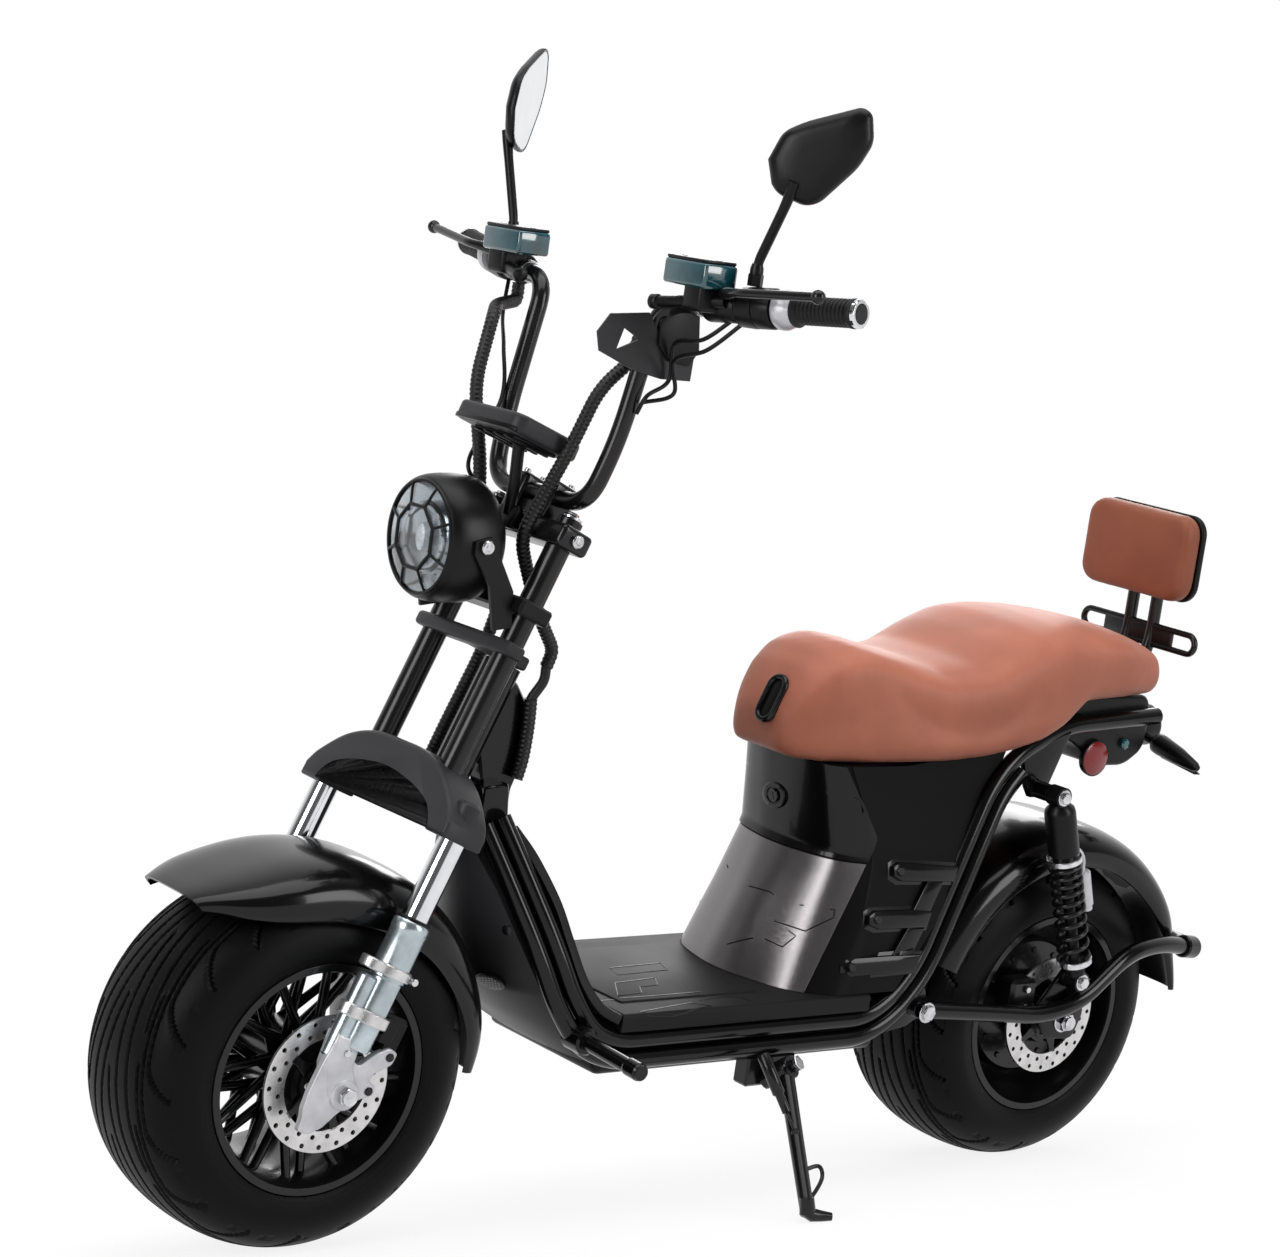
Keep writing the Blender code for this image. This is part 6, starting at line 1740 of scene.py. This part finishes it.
holders, faces, markers = [], [], []
for _, side in SIDES:
    out = Vector((side, 0, 0))
    turn = axis_turn(Vector((side * 0.0747, 0.632, 0.579)), Vector((side * 0.0747, 0.632, 0.579)) + out)
    holders.append(lathe(
        mm([(-2, 0), (-2, 24), (5, 25.5), (6.2, 25.2), (6.2, 24), (4.8, 23.8), (4.8, 0)]), 44, turn,
    ))
    faces.append(lathe(mm([(4, 0), (4, 23.6), (6.6, 23.6), (7.8, 21.5), (8.6, 0)]), 44, turn))
    at = Vector((side * 0.0747, 0.69, 0.598))
    markers.append(lathe(
        mm([(-1, 0), (-1, 7.5), (4.5, 7.5), (6.8, 5.5), (7.5, 0)]), 28, axis_turn(at, at + out),
    ))
add("reflector_holders", holders, SATIN)
add("reflectors", faces, RED)
add("tail_markers", markers, TINT)

posts = []
for _, side in SIDES:
    path = [
        (side * 0.022, y_at, z_at) for y_at, z_at in mm(((716, 627), (748, 664), (770, 740), (770, 870)))
    ]
    posts.append(tube(path, 0.0088, 0.02, 24, 8))
bar_outline = rounded_box(0.093, 0, 0.013, 7, (0, 0.743))
posts.append(block((-0.034, 0.766, 0.734), (0.034, 0.78, 0.752), 0.003, 3))
add("rack_posts", posts, STEEL_BLACK, replaces=["backrest_bracket"], soft=45)
frame_bar = sweep([(p[0], 0.767, p[1]) for p in bar_outline + bar_outline[:1]], 0.0046, 14)
add("rack_bar", [frame_bar, block((-0.064, 0.7634, 0.729), (0.064, 0.7706, 0.757), 0.002, 2)], STEEL_BLACK)

# Plates on the rear fender

def fender_patch(angle0, angle1, half0, half1, lift, thick):
    """A thin rounded plate that follows the rear fender's crown between two angles."""
    sections = []
    for k in range(15):
        t = k / 14
        a = math.radians(angle0 + (angle1 - angle0) * t)
        half = half0 + (half1 - half0) * t
        half *= max(0.35, min(1.0, math.sin(math.pi * max(0.03, min(0.97, t))) * 2.2))
        out = Vector((0, *around(1, a)))
        crown = 0.269 + lift
        loop = []
        for s in (-1, -0.5, 0, 0.5, 1):
            x = s * half
            loop.append(Vector((x, 0, 0)) + out * (crown + thick - abs(x) ** 2 * 1.2))
        for s in (1, 0.5, 0, -0.5, -1):
            x = s * half
            loop.append(Vector((x, 0, 0)) + out * (crown - 0.006 - abs(x) ** 2 * 1.2))
        sections.append(loop)
    return loft(sections)


add("fender_patch", fender_patch(33, 50, 0.03, 0.026, 0.0028, 0.0014), GREY, ("frame", REAR_WHEEL))
hinge = []
for _, side in SIDES:
    joint_at, joint_to = Vector((side * 0.134, 0.77, 0.322)), Vector((side * 0.1185, back_y, back_z))
    hinge.append(rod(joint_at.lerp(joint_to, 0.62), joint_at.lerp(joint_to, 0.92), 0.0162, 32, edge=0.002))
add("hoop_clamps", hinge, STEEL_BLACK)

# Side stand

STAND_PIVOT = Vector((0.163, 0.062, 0.204))
LEAN_TURN = Matrix.Rotation(LEAN, 4, "Y")


def on_floor(x, y, height=0.0):
    return LEAN_TURN.inverted() @ Vector((x, y, height - ORIGIN.z))


foot = on_floor(0.323, -0.008)
leg_way = (foot - STAND_PIVOT).normalized()
pin_way = (Vector((1, 0, 0)) - leg_way * leg_way.x).normalized()
ankle = on_floor(0.323, -0.008, 0.01)
leg = [
    lathe(mm(
        [(-11, 8.2), (-11, 13.8), (-9.5, 15), (9.5, 15), (11, 13.8), (11, 8.2)]
    ), 40, axis_turn(STAND_PIVOT, STAND_PIVOT + pin_way), closed=True),
    sweep([
        STAND_PIVOT + leg_way * 0.0135, STAND_PIVOT.lerp(ankle, 0.4), STAND_PIVOT.lerp(ankle, 0.9), ankle,
    ], [0.0105, 0.0098, 0.0092, 0.0092], 28),
]
sole = [sweep(
    [
        on_floor(0.3225, -0.0085, 0.03), on_floor(0.323, -0.008, 0.012), on_floor(0.325, -0.003, 0.0086),
        on_floor(0.331, 0.008, 0.0068), on_floor(0.337, 0.019, 0.0056),
    ],
    [0.009, 0.0105, 0.0086, 0.0068, 0.005], 26,
)]
add("stand_leg", [*leg, *sole], STEEL_BLACK, ON_STAND, ["side_stand"], 45)
down = [STAND_PIVOT.lerp(ankle, t) for t in (0.7, 0.7, 0.76, 0.87, 0.88)]
reach = mm([(2, 4, 0), (6, 24, 4), (7, 27, 0), (5, 9, 0), (2, 2, 0)])
tang = curved([a + Vector(b) for a, b in zip(down, reach)], 8)
hook_at = STAND_PIVOT + leg_way * 0.086 + Vector((0.0125, -0.01, 0))
add("stand_tang", [
    sweep(tang, 0.0027, 14),
    rod(hook_at - Vector((0.006, -0.008, 0)), hook_at + Vector((0.003, -0.002, 0)), 0.005, 16),
], STEEL_BLACK, ON_STAND, soft=45)
spring_from = STAND_PIVOT + Vector((0.0135, -0.056, 0.03))
spring_to = hook_at + Vector((0.002, 0, 0))
turn = axis_turn(spring_from, spring_to)
long = (spring_to - spring_from).length
cover = lathe([
    (0, 0.0), (0, 0.0066), (0.002, 0.0082), (long * 0.5, 0.0082), (long * 0.52, 0.0058),
    (long * 0.74, 0.0058), (long * 0.76, 0.0018), (long, 0.0018), (long, 0.0),
], 36)
add("stand_spring", moved(cover, turn), STEEL_BLACK, ON_STAND, soft=60)
dress("stand_bracket", STEEL_BLACK)
pin_end = STAND_PIVOT + pin_way * 0.0172
add("stand_bolt", rod(pin_end, pin_end + pin_way * 0.006, 0.0105, 6, edge=0.001), BOLT)
# Camera and light

FOCAL = 3273.55 / 1280 * 36
camera_data = bpy.data.cameras.new("photo_camera")
camera_data.sensor_width = 36.0
camera_data.lens = FOCAL
camera_data.shift_x = -9.11 / 1280
camera_data.shift_y = 6.63 / 1280
camera_data.clip_end = 200
camera = bpy.data.objects.new("photo_camera", camera_data)
scene.collection.objects.link(camera)
camera.location = ORIGIN + Vector((3.29466, -2.70808, 0.66615))
way = Vector((-0.77166, 0.63594, 0.01117))
camera.rotation_euler = way.to_track_quat("-Z", "Y").to_euler()
scene.camera = camera


def lamp(name, place, target, size, power):
    data = bpy.data.lights.new(name, "AREA")
    data.shape = "RECTANGLE"
    data.size, data.size_y = size
    data.energy = power
    thing = bpy.data.objects.new(name, data)
    scene.collection.objects.link(thing)
    thing.location = place
    thing.rotation_euler = (Vector(target) - Vector(place)).to_track_quat("-Z", "Y").to_euler()


lamp("top_softbox", (0.6, -0.4, 3.4), (0, 0, 0.4), (3.2, 2.2), 58)
lamp("front_softbox", (0.6, -4.0, 2.0), (0, 0, 0.6), (1.8, 2.4), 84)
lamp("left_softbox", (4.2, 1.6, 1.7), (0, 0, 0.6), (1.6, 2.6), 88)
lamp("back_softbox", (-2.6, 2.8, 2.4), (0, 0, 0.6), (2.0, 1.6), 40)

def cleared(owner):
    owner.use_nodes = True
    owner.node_tree.nodes.clear()
    return owner.node_tree


# The studio: a white backdrop behind the object, a dim room on the camera's side
world = bpy.data.worlds.new("studio")
scene.world = world
tree = cleared(world)
white = (1, 1, 1, 1)
towards_backdrop = (-0.77, 0.63, 0.05)
place = node(tree, "ShaderNodeTexCoord").outputs["Generated"]
aim = node(
    tree, "ShaderNodeVectorMath", {0: place, 1: towards_backdrop}, operation="DOT_PRODUCT",
).outputs["Value"]
fade = node(tree, "ShaderNodeMapRange", {
    "From Min": -0.2, "From Max": 0.7, "To Min": 0.12, "To Max": 1.0, "Value": aim,
}, interpolation_type="SMOOTHSTEP")
room = node(tree, "ShaderNodeBackground", {"Color": white, "Strength": fade.outputs["Result"]})
back = node(tree, "ShaderNodeBackground", {"Color": white, "Strength": 1.0})
rays = node(tree, "ShaderNodeLightPath")
mix = node(tree, "ShaderNodeMixShader", {
    "Fac": rays.outputs["Is Camera Ray"], 1: room.outputs[0], 2: back.outputs[0],
})
node(tree, "ShaderNodeOutputWorld", {"Surface": mix.outputs[0]})

# The floor glows white to the camera and in reflections, keeps the shadow, and is grey to all else
bpy.ops.mesh.primitive_circle_add(vertices=64, radius=40, fill_type="NGON", location=(0, 0, -0.0005))
floor = bpy.context.object
floor.name = "studio_floor"
paper = bpy.data.materials.new("studio_paper")
tree = cleared(paper)
lit = node(tree, "ShaderNodeBsdfDiffuse", {"Color": (0.16, 0.16, 0.16, 1)})
glow = node(tree, "ShaderNodeEmission", {"Strength": 0.85})
near = node(tree, "ShaderNodeAddShader", {0: lit.outputs[0], 1: glow.outputs[0]})
far = node(tree, "ShaderNodeEmission", {"Strength": 1.0})
place = node(tree, "ShaderNodeTexCoord").outputs["Object"]
run = node(tree, "ShaderNodeVectorMath", {0: place}, operation="LENGTH").outputs["Value"]
fade = node(
    tree, "ShaderNodeMapRange", {"From Min": 1.0, "From Max": 2.6, "Value": run},
    interpolation_type="SMOOTHSTEP",
)
seen = node(
    tree, "ShaderNodeMixShader", {"Fac": fade.outputs["Result"], 1: near.outputs[0], 2: far.outputs[0]},
)
plain = node(tree, "ShaderNodeBsdfDiffuse", {"Color": (0.2, 0.2, 0.2, 1)})
rays = node(tree, "ShaderNodeLightPath")
most = rays.outputs["Is Camera Ray"]
for kind in ("Is Glossy Ray", "Is Transmission Ray"):
    most = node(tree, "ShaderNodeMath", {0: most, 1: rays.outputs[kind]}, operation="MAXIMUM").outputs[0]
choose = node(tree, "ShaderNodeMixShader", {"Fac": most, 1: plain.outputs[0], 2: seen.outputs[0]})
node(tree, "ShaderNodeOutputMaterial", {"Surface": choose.outputs[0]})
floor.data.materials.append(paper)
floor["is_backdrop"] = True

scene.view_settings.view_transform = "Standard"

# What stays of the solids

for node, material in {
    "front_axle": BOLT, "rear_axle": BOLT, "front_caliper": SATIN, "head_tube": GLOSS,
}.items():
    dress(node, material)

low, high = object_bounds()
